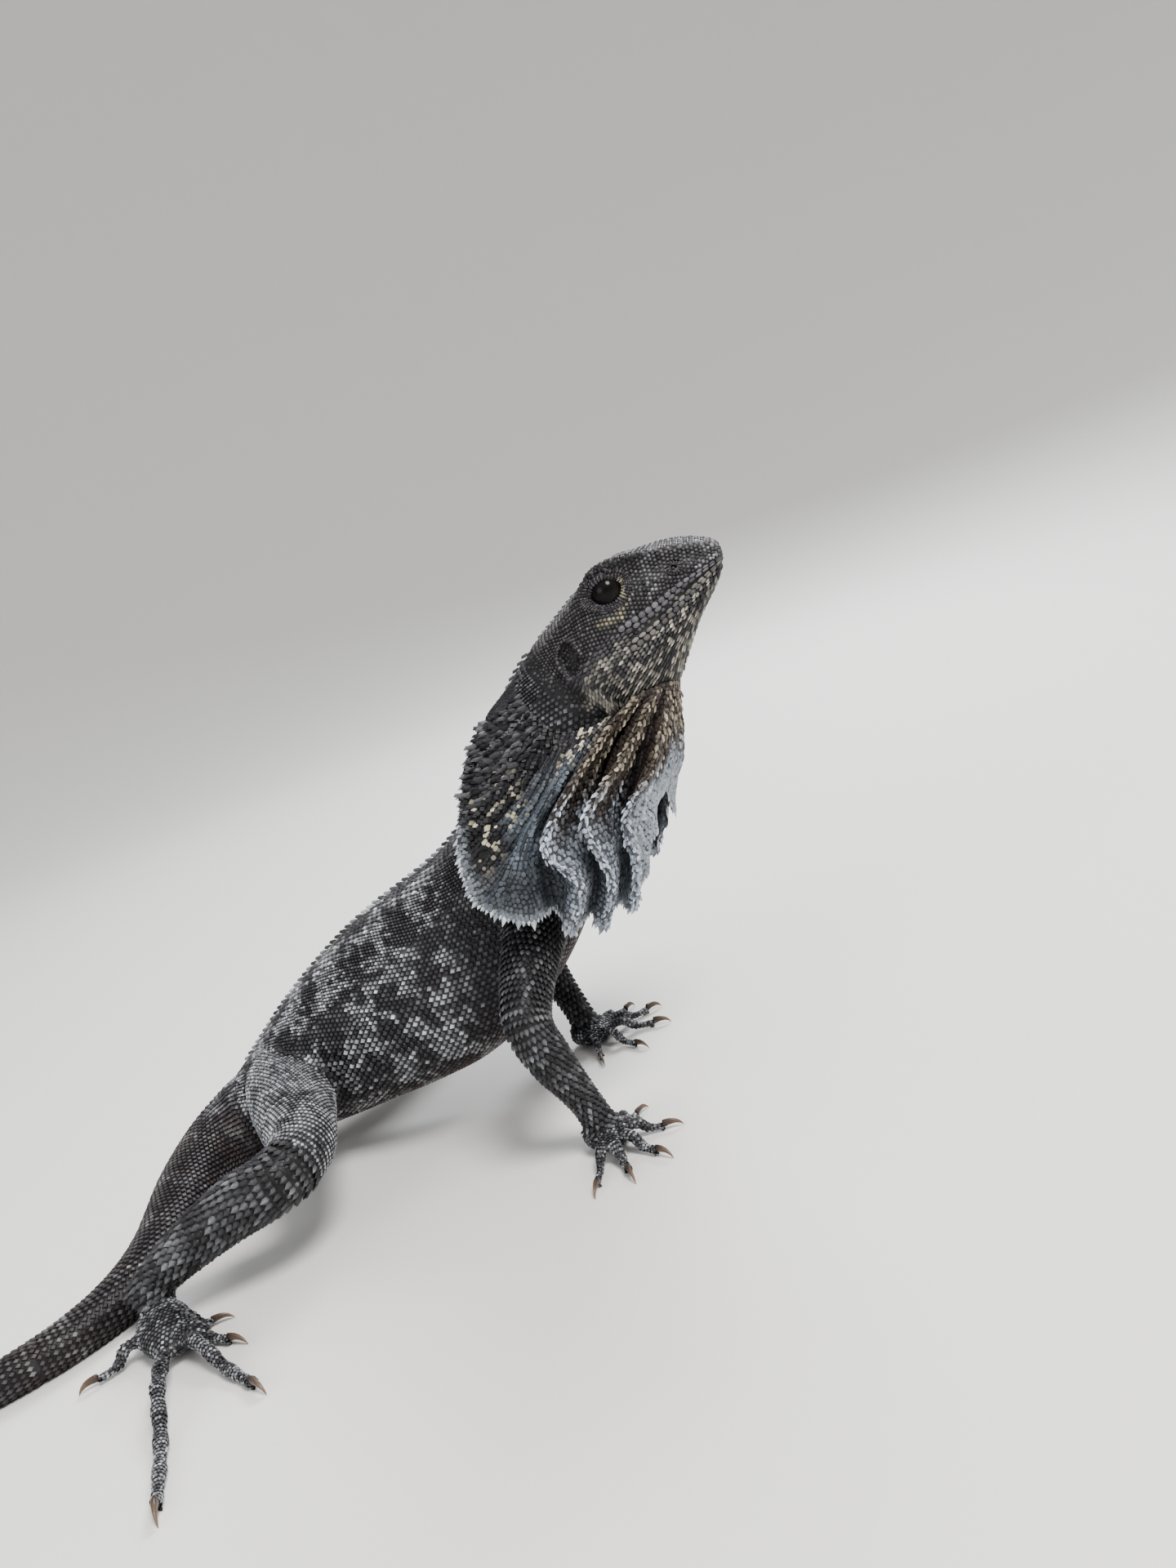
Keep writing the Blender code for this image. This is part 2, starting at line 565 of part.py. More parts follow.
def paw(name, wrist, limb_end, palm, size, turn, tips, folder, side=1):
    """A hand or foot: wrist, palm and five digits in one piece with flat soles."""
    palm = mirrored(palm, side)
    turned = Matrix.Rotation(math.radians(turn * side), 3, "Z")
    pieces = [wrist, ball("palm", palm, size, turned, folder, 10, 6)]
    for x, y, thick in tips:
        root = Vector(palm).lerp(Vector((x, y * side, palm[2])), 0.16)
        pieces.extend(digit(root, (x, y * side), thick, folder))
    whole = fuse(name, pieces, folder)
    return cut(whole, [floor_slab(folder), grown(limb_end, GAP, folder)], folder)


# Frill

def frill_grid(side):
    """Points of the folded membrane, row by row from its root to its toothed edge."""
    plan = [FAR_LOBE if side < 0 and n == FAR_LOBE_LINE else line for n, line in enumerate(FRILL_LINES)]
    lines = np.array([even(line, FRILL_ROWS + 1) for line in plan])
    where = np.linspace(0, len(lines) - 1, (len(lines) - 1) * FRILL_STEPS + 1)
    before = np.minimum(where.astype(int), len(lines) - 2)
    grid = lines[before] + (lines[before + 1] - lines[before]) * (where - before)[:, None, None]
    grid = grid.swapaxes(0, 1)
    grid[-1, 1:-1:2] += unit(grid[-1, 1:-1:2] - grid[-2, 1:-1:2]) * FRILL_TOOTH
    return grid * (1, side, 1)


def unit(vectors):
    return vectors / np.linalg.norm(vectors, axis=-1, keepdims=True)


def fold_normals(grid):
    """A normal at each point that halves the fold between its two neighbours in the row."""
    falls = unit(np.diff(grid, axis=0))
    down = unit(np.concatenate([falls[:1], falls]) + np.concatenate([falls, falls[-1:]]))
    steps = np.diff(grid, axis=1)
    across = np.zeros_like(grid)
    for step in (np.concatenate([steps[:, :1], steps], 1), np.concatenate([steps, steps[:, -1:]], 1)):
        across += unit(step - down * np.sum(step * down, axis=2, keepdims=True))
    return unit(np.cross(down, across))


def make_frill(name, side, folder):
    grid = frill_grid(side)
    normal = fold_normals(grid)
    faces, (rows, columns) = [], grid.shape[:2]
    layers = [grid + normal * FRILL_THICK / 2, grid - normal * FRILL_THICK / 2]
    for layer in layers:
        layer[:, -1, 1] = np.where(side * layer[:, -1, 1] > -GAP / 2, -side * GAP / 2, layer[:, -1, 1])
    verts = [tuple(p) for layer in layers for line in layer for p in line]
    step = rows * columns
    for r in range(rows - 1):
        for c in range(columns - 1):
            a, b = r * columns + c, r * columns + c + 1
            d, e = a + columns, b + columns
            faces += [(a, b, e), (a, e, d), (a + step, e + step, b + step), (a + step, d + step, e + step)]
    rim = [(0, c) for c in range(columns)] + [(r, columns - 1) for r in range(1, rows)]
    rim += [(rows - 1, c) for c in range(columns - 2, -1, -1)] + [(r, 0) for r in range(rows - 2, 0, -1)]
    for (r0, c0), (r1, c1) in zip(rim, rim[1:] + rim[:1]):
        a, b = r0 * columns + c0, r1 * columns + c1
        faces += [(a, a + step, b + step), (a, b + step, b)]
    return new_object(name, verts, faces, folder)


def make_eye(name, side, folder):
    return ball(name, mirrored(EYE, side), (EYE_RADIUS,) * 3, Matrix.Identity(3), folder, 14, 10)


def finish(node, tone):
    node.data.materials.clear()
    node.data.materials.append(tone)
    node.data.shade_smooth()
    node.data.set_sharp_from_angle(angle=math.radians(40))


def main():
    clear_scene()
    lizard = bpy.data.collections.new("frilled_lizard")
    bpy.context.scene.collection.children.link(lizard)
    dark = material("dark_scales", SKIN_DARK, 0.62)
    pale = material("banded_scales", SKIN_PALE, 0.62)
    frill_skin = material("frill_membrane", FRILL_TONE, 0.66)
    glossy = material("eye", EYE_TONE, 0.08)

    spines = nape_spines(lizard)
    neck = make_neck(lizard)
    torso = make_torso(lizard)
    head, head_clear = make_head(lizard, [s for where, s in spines if where == "head"])
    neck_clear = grown(neck, GAP, lizard)
    torso_clear = grown(torso, GAP, lizard)
    neck = fuse("neck", [neck, *[s for where, s in spines if where == "neck"]], lizard)
    tail = make_tail(lizard)
    tail_clear = grown(tail[0], GAP, lizard)
    eyes = [make_eye("eye_right", 1, lizard), make_eye("eye_left", -1, lizard)]

    left_leg = tuple((x, -y, z, r) for x, y, z, r in RIGHT_LEG)
    limbs, paws = [], []
    for paw_name, names, line, joint, shape, side in (
            ("hand_right", ("upper_arm_right", "forearm_right"), RIGHT_ARM, ELBOW, RIGHT_HAND, 1),
            ("hand_left", ("upper_arm_left", "forearm_left"), LEFT_ARM, ELBOW, LEFT_HAND, 1),
            ("foot_right", ("thigh_right", "shank_right"), RIGHT_LEG, KNEE, RIGHT_FOOT, 1),
            ("foot_left", ("thigh_left", "shank_left"), left_leg, KNEE, RIGHT_FOOT, -1)):
        upper, lower, wrist = limb(names, line, joint, lizard)
        lower = cut(lower, [grown(upper, GAP, lizard)], lizard)
        paws.append(paw(paw_name, wrist, lower, folder=lizard, side=side, **shape))
        upper = cut(upper, copies_of((torso_clear, tail_clear), lizard), lizard)
        limbs += [upper, lower]

    frills = []
    for name, side in (("frill_right", 1), ("frill_left", -1)):
        frill = make_frill(name, side, lizard)
        frills.append(cut(frill, copies_of((head_clear, neck_clear, torso_clear), lizard), lizard))
    for thing in (head_clear, neck_clear, torso_clear, tail_clear):
        bpy.data.objects.remove(thing, do_unlink=True)

    for node in (head, neck, torso, *tail):
        finish(node, dark)
    for node in (*limbs, *paws):
        finish(node, pale)
    for node in frills:
        finish(node, frill_skin)
    for node in eyes:
        finish(node, glossy)


main()
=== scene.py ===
import math

import bmesh
import bpy
import numpy as np
from mathutils import Matrix, Vector, noise
from mathutils.bvhtree import BVHTree
from mathutils.kdtree import KDTree


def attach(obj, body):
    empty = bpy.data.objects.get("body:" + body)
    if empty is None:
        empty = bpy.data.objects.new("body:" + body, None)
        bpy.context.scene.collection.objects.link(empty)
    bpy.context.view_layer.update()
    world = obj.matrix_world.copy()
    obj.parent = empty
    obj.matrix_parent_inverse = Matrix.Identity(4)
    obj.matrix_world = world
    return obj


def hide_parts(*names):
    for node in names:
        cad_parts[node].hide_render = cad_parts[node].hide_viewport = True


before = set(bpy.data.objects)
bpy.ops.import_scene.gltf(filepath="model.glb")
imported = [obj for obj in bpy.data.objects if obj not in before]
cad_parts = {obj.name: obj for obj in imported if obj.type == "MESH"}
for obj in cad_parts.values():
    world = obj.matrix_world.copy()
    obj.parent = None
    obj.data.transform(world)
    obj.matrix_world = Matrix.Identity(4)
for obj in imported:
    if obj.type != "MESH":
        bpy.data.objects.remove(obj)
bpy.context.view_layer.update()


# Trunk and neck
# A low, long body on loose skin, raised at the shoulders. Its form is a run of oval sections, from the
# back of the head to the hips, kept as a grid of points that both the skin and its scales are laid on.
# Places are in millimetres, ahead, left and up, and MIDDLE is where the frame's origin lies among them.
MM = 0.001
MIDDLE = np.array([-212.2, 0.0, 0.0])
SPINE = ((13.0, 116.8, 32.6, 89.6, 14.2), (4.5, 109.6, 25.0, 82.6, 13.2), (-3.6, 99.6, 18.0, 74.6, 13.4),
         (-11.6, 88.6, 12.0, 62.0, 15.4), (-20.0, 79.6, 4.0, 47.6, 18.6), (-29.4, 73.4, -7.0, 35.0, 20.8),
         (-40.4, 68.8, -20.0, 24.6, 22.0), (-52.4, 64.4, -33.0, 17.8, 22.4), (-64.4, 59.0, -47.0, 14.4, 22.2),
         (-76.4, 52.2, -61.0, 12.2, 20.8), (-87.6, 45.0, -74.0, 10.0, 18.4), (-98.0, 37.2, -87.0, 7.8, 15.6),
         (-108.0, 29.6, -100.0, 4.6, 13.2), (-116.0, 25.0, -111.0, 1.4, 11.8))
SIDES = 104
TRUNK_ROWS, TRUNK_END = 180, 12.15
BACK_POWER, BELLY_POWER = 0.92, 0.80


def between(a, b, c, d, share):
    """Points between b and c on the smooth curve through four knots."""
    bend = 2 * a - 5 * b + 4 * c - d + share * (3 * b - a - 3 * c + d)
    return b + 0.5 * share * (c - a + share * bend)


def curve_at(knots, where):
    """Values on a smooth curve through the knots, at places counted in knots."""
    knots = np.asarray(knots, float)
    before, after = 2 * knots[0] - knots[1], 2 * knots[-1] - knots[-2]
    ends = np.vstack([before, knots, after, 2 * after - knots[-1]])
    where = np.clip(np.asarray(where, float), 0, len(knots) - 1)
    first = where.astype(int)
    return between(*(ends[first + k] for k in range(4)), (where - first)[:, None])


def body_section(back_x, back_up, belly_x, belly_up, wide, sides):
    """A whole section, from the back down the right side and up the left one."""
    angle = math.pi / 2 - 2 * math.pi * np.arange(sides) / sides
    up, out = np.sin(angle), np.cos(angle)
    power = np.where(up > 0, BACK_POWER, BELLY_POWER)
    across = -wide * np.sign(out) * np.abs(out) ** power
    middle = np.array([back_x + belly_x, 0, back_up + belly_up]) / 2
    rise = np.array([back_x - belly_x, 0, back_up - belly_up]) / 2
    return middle + rise * up[:, None] + np.array([0, 1, 0]) * across[:, None]


trunk_values = curve_at(SPINE, np.linspace(0, TRUNK_END, TRUNK_ROWS))
trunk_form = np.array([body_section(*values, SIDES) for values in trunk_values])


# Head
# A long wedge of bone under tight skin, with a shelf of brow over the eye, a fold of loose lip round the
# mouth and a swollen jaw. Seven stations of six lines carry it from the snout back to the ear.
CROWN = ((64.4, 0.0, 125.0), (62.6, 0.0, 127.8), (55.0, 0.0, 130.6), (46.0, 0.0, 131.2), (36.5, 0.0, 129.9),
         (29.0, 0.0, 126.6), (21.5, 0.0, 122.0))
BROW = ((64.2, 1.7, 124.7), (62.3, 4.0, 126.4), (55.3, 6.4, 128.7), (45.5, 9.4, 130.2), (37.0, 12.1, 130.5),
        (30.0, 12.0, 125.9), (22.8, 10.8, 119.8))
CHEEK = ((64.4, 2.1, 123.9), (62.1, 4.6, 124.0), (54.6, 7.7, 124.0), (45.6, 10.9, 122.6), (37.2, 13.2, 120.4),
         (30.6, 15.2, 117.6), (24.0, 16.2, 113.2))
LIP = ((64.2, 2.1, 122.6), (61.2, 4.9, 121.4), (54.4, 8.9, 118.6), (45.2, 12.8, 114.4), (38.2, 15.2, 112.2),
       (32.2, 17.0, 110.0), (26.4, 17.2, 106.8))
JAW = ((63.9, 1.8, 121.5), (60.6, 4.5, 118.6), (53.6, 8.3, 113.7), (46.0, 11.8, 109.2), (40.2, 13.8, 106.2),
       (34.8, 14.9, 103.6), (29.8, 14.4, 100.8))
CHIN = ((63.6, 0.0, 120.9), (60.2, 0.0, 116.6), (54.9, 0.0, 110.8), (50.0, 0.0, 104.0), (46.0, 0.0, 98.4),
        (42.0, 0.0, 94.4), (37.4, 0.0, 91.4))
HEAD_LINES = (CROWN, BROW, CHEEK, LIP, JAW, CHIN)
HALF_POINTS = 14
HEAD_ROWS, LAST_STATION = 150, 6.0
MOUTH_END, MOUTH_FADE = 5.6, 1.2


def toward(start, end, share):
    return start + (end - start) * share


def head_half(points, groove):
    """Right half of a section of the head, with the mouth's fold in it."""
    crown, brow, cheek, lip, jaw, chin = [point * (1, -1, 1) for point in points]
    out = np.array([0.0, -1.0, 0.0])
    tall = (crown - chin) / np.linalg.norm(crown - chin)
    down = (jaw - crown) / np.linalg.norm(jaw - crown)
    above = toward(lip, cheek, 0.18) + out * 0.1 * groove
    below = toward(lip, jaw, 0.24) + out * 0.1 * groove
    fold = lip - out * 1.0 * groove
    return [crown, toward(crown, brow, 0.6) + tall * 0.25, brow, toward(brow, cheek, 0.5) - out * 0.6, cheek,
            toward(cheek, lip, 0.5) + out * 0.2, above, fold, below, toward(below, jaw, 0.55), jaw,
            toward(jaw, chin, 0.36) + down * 1.2, toward(jaw, chin, 0.70) + down * 1.4, chin]


def round_curve(ring, where):
    """Points on the smooth closed curve through a ring."""
    first = np.floor(where).astype(int)
    return between(*(ring[(first + k) % len(ring)] for k in (-1, 0, 1, 2)), (where - first)[:, None])


def head_section(place):
    """A ring round the head. Past the last station it turns into the neck's first section."""
    held = min(place, LAST_STATION)
    points = [curve_at(line, [held])[0] for line in HEAD_LINES]
    half = np.array(head_half(points, min(1.0, max(0.0, (MOUTH_END - held) / MOUTH_FADE))))
    if place > LAST_STATION:
        neck = body_section(*SPINE[0], 2 * (HALF_POINTS - 1))[:HALF_POINTS]
        half = half + (neck - half) * (place - LAST_STATION)
    ring = np.vstack([half, (half[1:-1] * (1, -1, 1))[::-1]])
    return round_curve(ring, np.arange(SIDES) * len(ring) / SIDES)


head_places = np.linspace(0, LAST_STATION + 1, HEAD_ROWS)
head_form = np.array([head_section(place) for place in head_places])


# Tail
# Muscle and bone tapering to a point, twice as long as the body. It comes down from the hips, turns out
# behind the right foot and lies in a long curve.
TAIL = ((-104.0, 0.0, 13.0, 12.5), (-111.5, -2.0, 12.4, 12.0), (-117.0, -7.5, 11.6, 11.2),
        (-119.4, -16.0, 10.7, 10.4), (-119.4, -27.0, 9.7, 9.5), (-117.4, -39.0, 8.7, 8.5),
        (-115.8, -50.0, 7.8, 7.6), (-116.4, -61.0, 6.9, 6.7), (-120.6, -72.0, 6.0, 5.8),
        (-129.4, -83.0, 5.3, 5.1), (-143.0, -93.0, 4.8, 4.6), (-163.0, -99.6, 4.4, 4.2),
        (-193.0, -102.4, 4.1, 3.9), (-232.0, -101.0, 3.7, 3.5), (-274.0, -96.6, 3.3, 3.1),
        (-320.0, -91.0, 2.8, 2.7), (-367.0, -86.4, 2.3, 2.2), (-412.0, -83.4, 1.8, 1.7),
        (-453.0, -82.4, 1.3, 1.3), (-489.0, -83.2, 0.6, 0.7))
HIPS_AT, TAIL_DROP, TAIL_SIT = 12.0, 4.0, 0.10
TAIL_ROWS = 420


def unit(vectors):
    return vectors / np.maximum(np.linalg.norm(vectors, axis=-1, keepdims=True), 1e-9)


def tube(path, wide, high, up, sides=48):
    """Oval rings square to a path, each from its top down its right side."""
    forward = unit(np.gradient(path, axis=0))
    side = unit(np.cross(np.asarray(up, float), forward))
    top = np.cross(forward, side)
    angle = math.pi / 2 - 2 * math.pi * np.arange(sides) / sides
    across = side[:, None] * (np.asarray(wide)[:, None] * np.cos(angle))[:, :, None]
    rise = top[:, None] * (np.asarray(high)[:, None] * np.sin(angle))[:, :, None]
    return path[:, None] + across + rise


tail_where = np.linspace(0, len(TAIL) - 1, TAIL_ROWS)
tail_values = curve_at(TAIL, tail_where)
hips = curve_at(SPINE, [HIPS_AT])[0]
tail_lift = tail_values[:, 3] * (1 - TAIL_SIT)
hip_lift = (hips[1] + hips[3]) / 2 - tail_lift[0]
tail_lift = tail_lift + hip_lift * np.clip(1 - tail_where / TAIL_DROP, 0, 1) ** 2
tail_path = np.column_stack([tail_values[:, :2], tail_lift])
tail_form = tube(tail_path, tail_values[:, 2], tail_values[:, 3], (0, 0, 1))


# Limbs, hands and feet
# Bone and lean muscle. The arms stand nearly straight, the hind legs are bent out at the knee, and each
# hand and foot has five digits, the fourth toe by far the longest. The soles are flat on the floor.
RIGHT_ARM = ((-4.0, -9.0, 56.0, 9.2), (-6.0, -20.0, 50.6, 8.0), (-8.0, -31.0, 43.4, 6.8),
             (-8.6, -38.6, 36.0, 6.0), (-6.4, -38.4, 26.0, 5.5), (-4.2, -36.6, 17.6, 4.4),
             (-2.6, -35.4, 11.4, 4.0), (-1.2, -35.2, 5.4, 4.1))
LEFT_ARM = ((-4.0, 9.0, 56.0, 9.2), (-9.0, 20.0, 49.6, 8.0), (-17.0, 30.0, 42.0, 6.8),
            (-23.4, 35.0, 34.6, 6.0), (-23.6, 33.0, 25.0, 5.5), (-20.4, 29.8, 17.4, 4.4),
            (-18.0, 28.0, 11.4, 4.0), (-16.2, 26.8, 5.4, 4.1))
RIGHT_LEG = ((-92.0, -6.0, 25.0, 12.4), (-85.0, -20.0, 25.0, 12.0), (-76.0, -36.0, 25.4, 10.4),
             (-68.4, -50.0, 25.0, 8.2), (-70.0, -60.0, 23.4, 7.4), (-82.4, -65.4, 20.4, 7.0),
             (-95.0, -69.4, 15.4, 5.8), (-102.4, -72.0, 11.4, 4.9), (-107.0, -74.4, 7.6, 4.6))
LEFT_LEG = tuple((x, -y, z, r) for x, y, z, r in RIGHT_LEG)
RIGHT_HAND = dict(palm=(-0.6, -35.4, 3.5), size=(6.8, 6.0, 3.8), turn=-46.0,
                  tips=((-0.8, -58.4, 1.35), (8.6, -55.6, 1.5), (16.8, -48.0, 1.5), (18.0, -33.4, 1.4),
                        (7.2, -20.6, 1.25)))
LEFT_HAND = dict(palm=(-15.4, 26.4, 3.5), size=(6.8, 6.0, 3.8), turn=-10.0,
                 tips=((-5.8, 46.4, 1.35), (3.6, 40.8, 1.5), (8.2, 27.4, 1.5), (3.2, 12.8, 1.4),
                       (-9.4, 8.2, 1.25)))
RIGHT_FOOT = dict(palm=(-98.4, -80.6, 4.0), size=(12.4, 6.6, 4.4), turn=-48.0,
                  tips=((-115.0, -93.6, 1.45), (-69.8, -135.0, 1.75), (-62.4, -104.4, 1.7),
                        (-75.6, -86.4, 1.5), (-84.4, -75.4, 1.3)))
LEFT_FOOT = dict(palm=(-98.4, 80.6, 4.0), size=(12.4, 6.6, 4.4), turn=48.0,
                 tips=tuple((x, -y, r) for x, y, r in RIGHT_FOOT["tips"]))
DIGIT_ARCH, CLAW_LENGTH = 2.4, 4.6
LIMB_ROWS, DIGIT_ROWS, PALM_ROWS = 110, 46, 26


def limb_tube(line):
    values = curve_at(line, np.linspace(0, len(line) - 1, LIMB_ROWS))
    return tube(values[:, :3], values[:, 3], values[:, 3] * 0.94, (1, 0, 0.2))


def digit_tube(palm, tip, thick):
    """A finger or toe with swollen joints, from the palm to the root of its claw."""
    root = toward(np.array(palm), np.array([tip[0], tip[1], palm[2]]), 0.16)
    reach = np.array([tip[0] - root[0], tip[1] - root[1], 0.0])
    length = np.linalg.norm(reach)
    nail = np.array([tip[0], tip[1], 0.0]) - unit(reach) * CLAW_LENGTH
    rise = np.array([0, 0, DIGIT_ARCH + 0.03 * length])
    arch, low = root + reach * 0.30 + rise * 0.30, toward(root, nail, 0.62) + rise * 0.10
    knots = [(*root, thick * 1.12), (*arch, thick * 1.05), (*low, thick),
             (nail[0], nail[1], thick * 0.86, thick * 0.84)]
    values = curve_at(knots, np.linspace(0, len(knots) - 1, DIGIT_ROWS))
    knuckle = 1 + 0.10 * np.cos(np.linspace(0, 2 * math.pi * max(2, round(length / 9)), DIGIT_ROWS))
    grid = tube(values[:, :3], values[:, 3] * knuckle, values[:, 3] * knuckle, (0, 0, 1), sides=24)
    return grid, nail, unit(reach), thick


def palm_ball(palm, size, turn):
    """A flat ball for the palm, its rows running from wrist to knuckles."""
    angle = np.linspace(0.04, math.pi - 0.04, PALM_ROWS)
    path = np.column_stack([-np.cos(angle) * size[0], np.zeros(PALM_ROWS), np.zeros(PALM_ROWS)])
    c, s = math.cos(math.radians(turn)), math.sin(math.radians(turn))
    path = path @ np.array([[c, s, 0], [-s, c, 0], [0, 0, 1]]) + np.array(palm)
    return tube(path, np.sin(angle) * size[1], np.sin(angle) * size[2], (0, 0, 1), sides=32)


limb_forms = {"arm_right": limb_tube(RIGHT_ARM), "arm_left": limb_tube(LEFT_ARM),
              "leg_right": limb_tube(RIGHT_LEG), "leg_left": limb_tube(LEFT_LEG)}
palm_forms, digit_forms, nails = {}, {}, []
paws = {"hand_right": RIGHT_HAND, "hand_left": LEFT_HAND, "foot_right": RIGHT_FOOT, "foot_left": LEFT_FOOT}
for paw, plan in paws.items():
    palm_forms[paw] = palm_ball(plan["palm"], plan["size"], plan["turn"])
    for number, (x, y, thick) in enumerate(plan["tips"], 1):
        grid, nail, level, thick = digit_tube(plan["palm"], (x, y), thick)
        digit_forms["%s_digit_%d" % (paw, number)] = grid
        nails.append((nail, level, thick))


# Skin
# One thin, dark, dry hide over the whole animal. The forms are joined and drawn into one closed skin,
# smoothed, and let in by the depth of the scales. Sockets for eyes, ears and nostrils are pressed into it,
# and the brows are raised.
COAT_DEPTH, SKIN_STEP, SKIN_FOOT = 0.40, 0.99, 0.15
HEAD_BACK, HEAD_FOOT = 14.0, 96.0
EYE, EYE_RADIUS = np.array([36.4, -9.3, 123.9]), 4.3
EYE_FACES, EYE_AHEAD = np.array([0.16, -1.0, 0.02]), np.array([1.0, 0.0, 0.14])
SOCKET_LONG, SOCKET_HIGH, SOCKET_DEPTH = 4.9, 4.2, 0.7
EAR, EAR_SIZE, EAR_DEPTH = np.array([23.6, -16.6, 112.2]), np.array([2.9, 6.0, 4.4]), 1.7
NOSTRIL, NOSTRIL_DEPTH = np.array([53.4, -7.0, 124.9]), 1.0
BROW_FRONT, BROW_BACK = np.array([45.0, -9.6, 129.8]), np.array([30.0, -12.2, 127.2])
BROW_SWELL, BROW_WIDTH = np.array([0.0, -0.9, 0.35]), 1.3


def metres(points):
    return (np.asarray(points, float) - MIDDLE) * MM


def mesh_piece(name, verts, faces):
    mesh = bpy.data.meshes.new(name)
    mesh.from_pydata(metres(verts).tolist(), [], faces)
    piece = bpy.data.objects.new(name, mesh)
    bpy.context.scene.collection.objects.link(piece)
    return piece


def face_outward(piece):
    shape = bmesh.new()
    shape.from_mesh(piece.data)
    bmesh.ops.recalc_face_normals(shape, faces=shape.faces)
    shape.to_mesh(piece.data)
    shape.free()


def closed_tube(name, grid):
    """A grid of rings as a closed mesh with a point at each end."""
    rows, sides = grid.shape[:2]
    verts = np.vstack([grid.reshape(-1, 3), grid[0].mean(axis=0), grid[-1].mean(axis=0)])
    row, side = np.meshgrid(np.arange(rows - 1), np.arange(sides), indexing="ij")
    a, b = row * sides + side, row * sides + (side + 1) % sides
    faces = np.stack([a, b, b + sides, a + sides], axis=-1).reshape(-1, 4).tolist()
    last = (rows - 1) * sides
    faces += [(rows * sides, (k + 1) % sides, k) for k in range(sides)]
    faces += [(rows * sides + 1, last + k, last + (k + 1) % sides) for k in range(sides)]
    piece = mesh_piece(name, verts, faces)
    face_outward(piece)
    return piece


forms = {"head": head_form, "trunk": trunk_form, "tail": tail_form, **limb_forms, **palm_forms, **digit_forms}
parts = [closed_tube(name, grid) for name, grid in forms.items()]
skin = parts[0]
bpy.ops.object.select_all(action="DESELECT")
for part in parts:
    part.select_set(True)
bpy.context.view_layer.objects.active = skin
bpy.ops.object.join()
skin.name = skin.data.name = "skin"
remesh = skin.modifiers.new("one_hide", "REMESH")
remesh.mode = "VOXEL"
remesh.voxel_size = SKIN_STEP * MM
bpy.ops.object.modifier_apply(modifier="one_hide")
relax = skin.modifiers.new("relax", "SMOOTH")
relax.factor, relax.iterations = 0.5, 4
bpy.ops.object.modifier_apply(modifier="relax")


def read_rows(items, title):
    """A value of three numbers from every item of a mesh's list."""
    values = np.empty(len(items) * 3)
    items.foreach_get(title, values)
    return values.reshape(-1, 3)


def read_points(piece):
    return read_rows(piece.data.vertices, "co") / MM + MIDDLE


def write_points(piece, points):
    piece.data.vertices.foreach_set("co", metres(points).ravel())
    piece.data.update()


# the head's skin gets a closer mesh than the rest
shape = bmesh.new()
shape.from_mesh(skin.data)
head_from = metres([HEAD_BACK, 0, 0])[0]
close_edges = [edge for edge in shape.edges
               if edge.verts[0].co.x > head_from and edge.verts[0].co.z > HEAD_FOOT * MM]
bmesh.ops.subdivide_edges(shape, edges=close_edges, cuts=1, use_grid_fill=True)
shape.to_mesh(skin.data)
shape.free()

skin_points = read_points(skin)
skin_points -= read_rows(skin.data.vertex_normals, "vector") * COAT_DEPTH
for side in (1, -1):
    mirror = np.array([1, side, 1])
    # the socket of the eye
    off = skin_points - EYE * mirror
    out, ahead = unit(EYE_FACES * mirror), unit(EYE_AHEAD)
    along, across = off @ ahead / SOCKET_LONG, off @ unit(np.cross(out, ahead)) / SOCKET_HIGH
    press = np.clip((1.25 - np.hypot(along, across)) / 0.25, 0, 1) * (off @ out > 0)
    far = np.minimum(np.linalg.norm(off, axis=1), EYE_RADIUS - SOCKET_DEPTH)
    skin_points += (EYE * mirror + unit(off) * far[:, None] - skin_points) * press[:, None]
    # the ear's hollow and the nostril
    ear_far = np.linalg.norm((skin_points - EAR * mirror) / EAR_SIZE, axis=1)
    skin_points[:, 1] += side * EAR_DEPTH * np.clip((1.15 - ear_far) / 0.35, 0, 1)
    nostril_far = np.linalg.norm((skin_points - NOSTRIL * mirror) * (1, 0.3, 1), axis=1)
    press = np.clip((1.05 - nostril_far) / 0.5, 0, 1) * (skin_points[:, 1] * side < 0)
    skin_points[:, 1] += side * NOSTRIL_DEPTH * press
    # the brow's shelf
    from_front, shelf = skin_points - BROW_FRONT * mirror, (BROW_BACK - BROW_FRONT) * mirror
    share = np.clip(from_front @ shelf / np.sum(shelf ** 2), 0, 1)
    brow_far = np.linalg.norm(from_front - share[:, None] * shelf, axis=1)
    skin_points += BROW_SWELL * mirror * np.exp(-(brow_far / BROW_WIDTH) ** 2)[:, None]
skin_points[:, 2] = np.maximum(skin_points[:, 2], SKIN_FOOT)
write_points(skin, skin_points)
skin.data.shade_smooth()
skin_faces = [tuple(face.vertices) for face in skin.data.polygons]
skin_tree = BVHTree.FromPolygons([tuple(point) for point in skin_points], skin_faces)


# Scales
# Small horny plates that grow from the skin in staggered rows and lie over each other toward the tail. They
# are flat lozenges on trunk and tail, keeled and pointed on crest, limbs and throat, and grains on the head,
# and they are largest on back, shank and lips.
draw = np.random.default_rng(7)
SPREAD, RING_POINTS = 0.62, 60
ELBOW, KNEE, TAIL_MIDDLE, TAIL_THIN = 58, 50, 200, 310
SOLE, GRAIN_SIZE, GRAIN_GAP, SCALE_GAP, CELL = 0.5, 1.3, 0.85, 0.80, 1.2


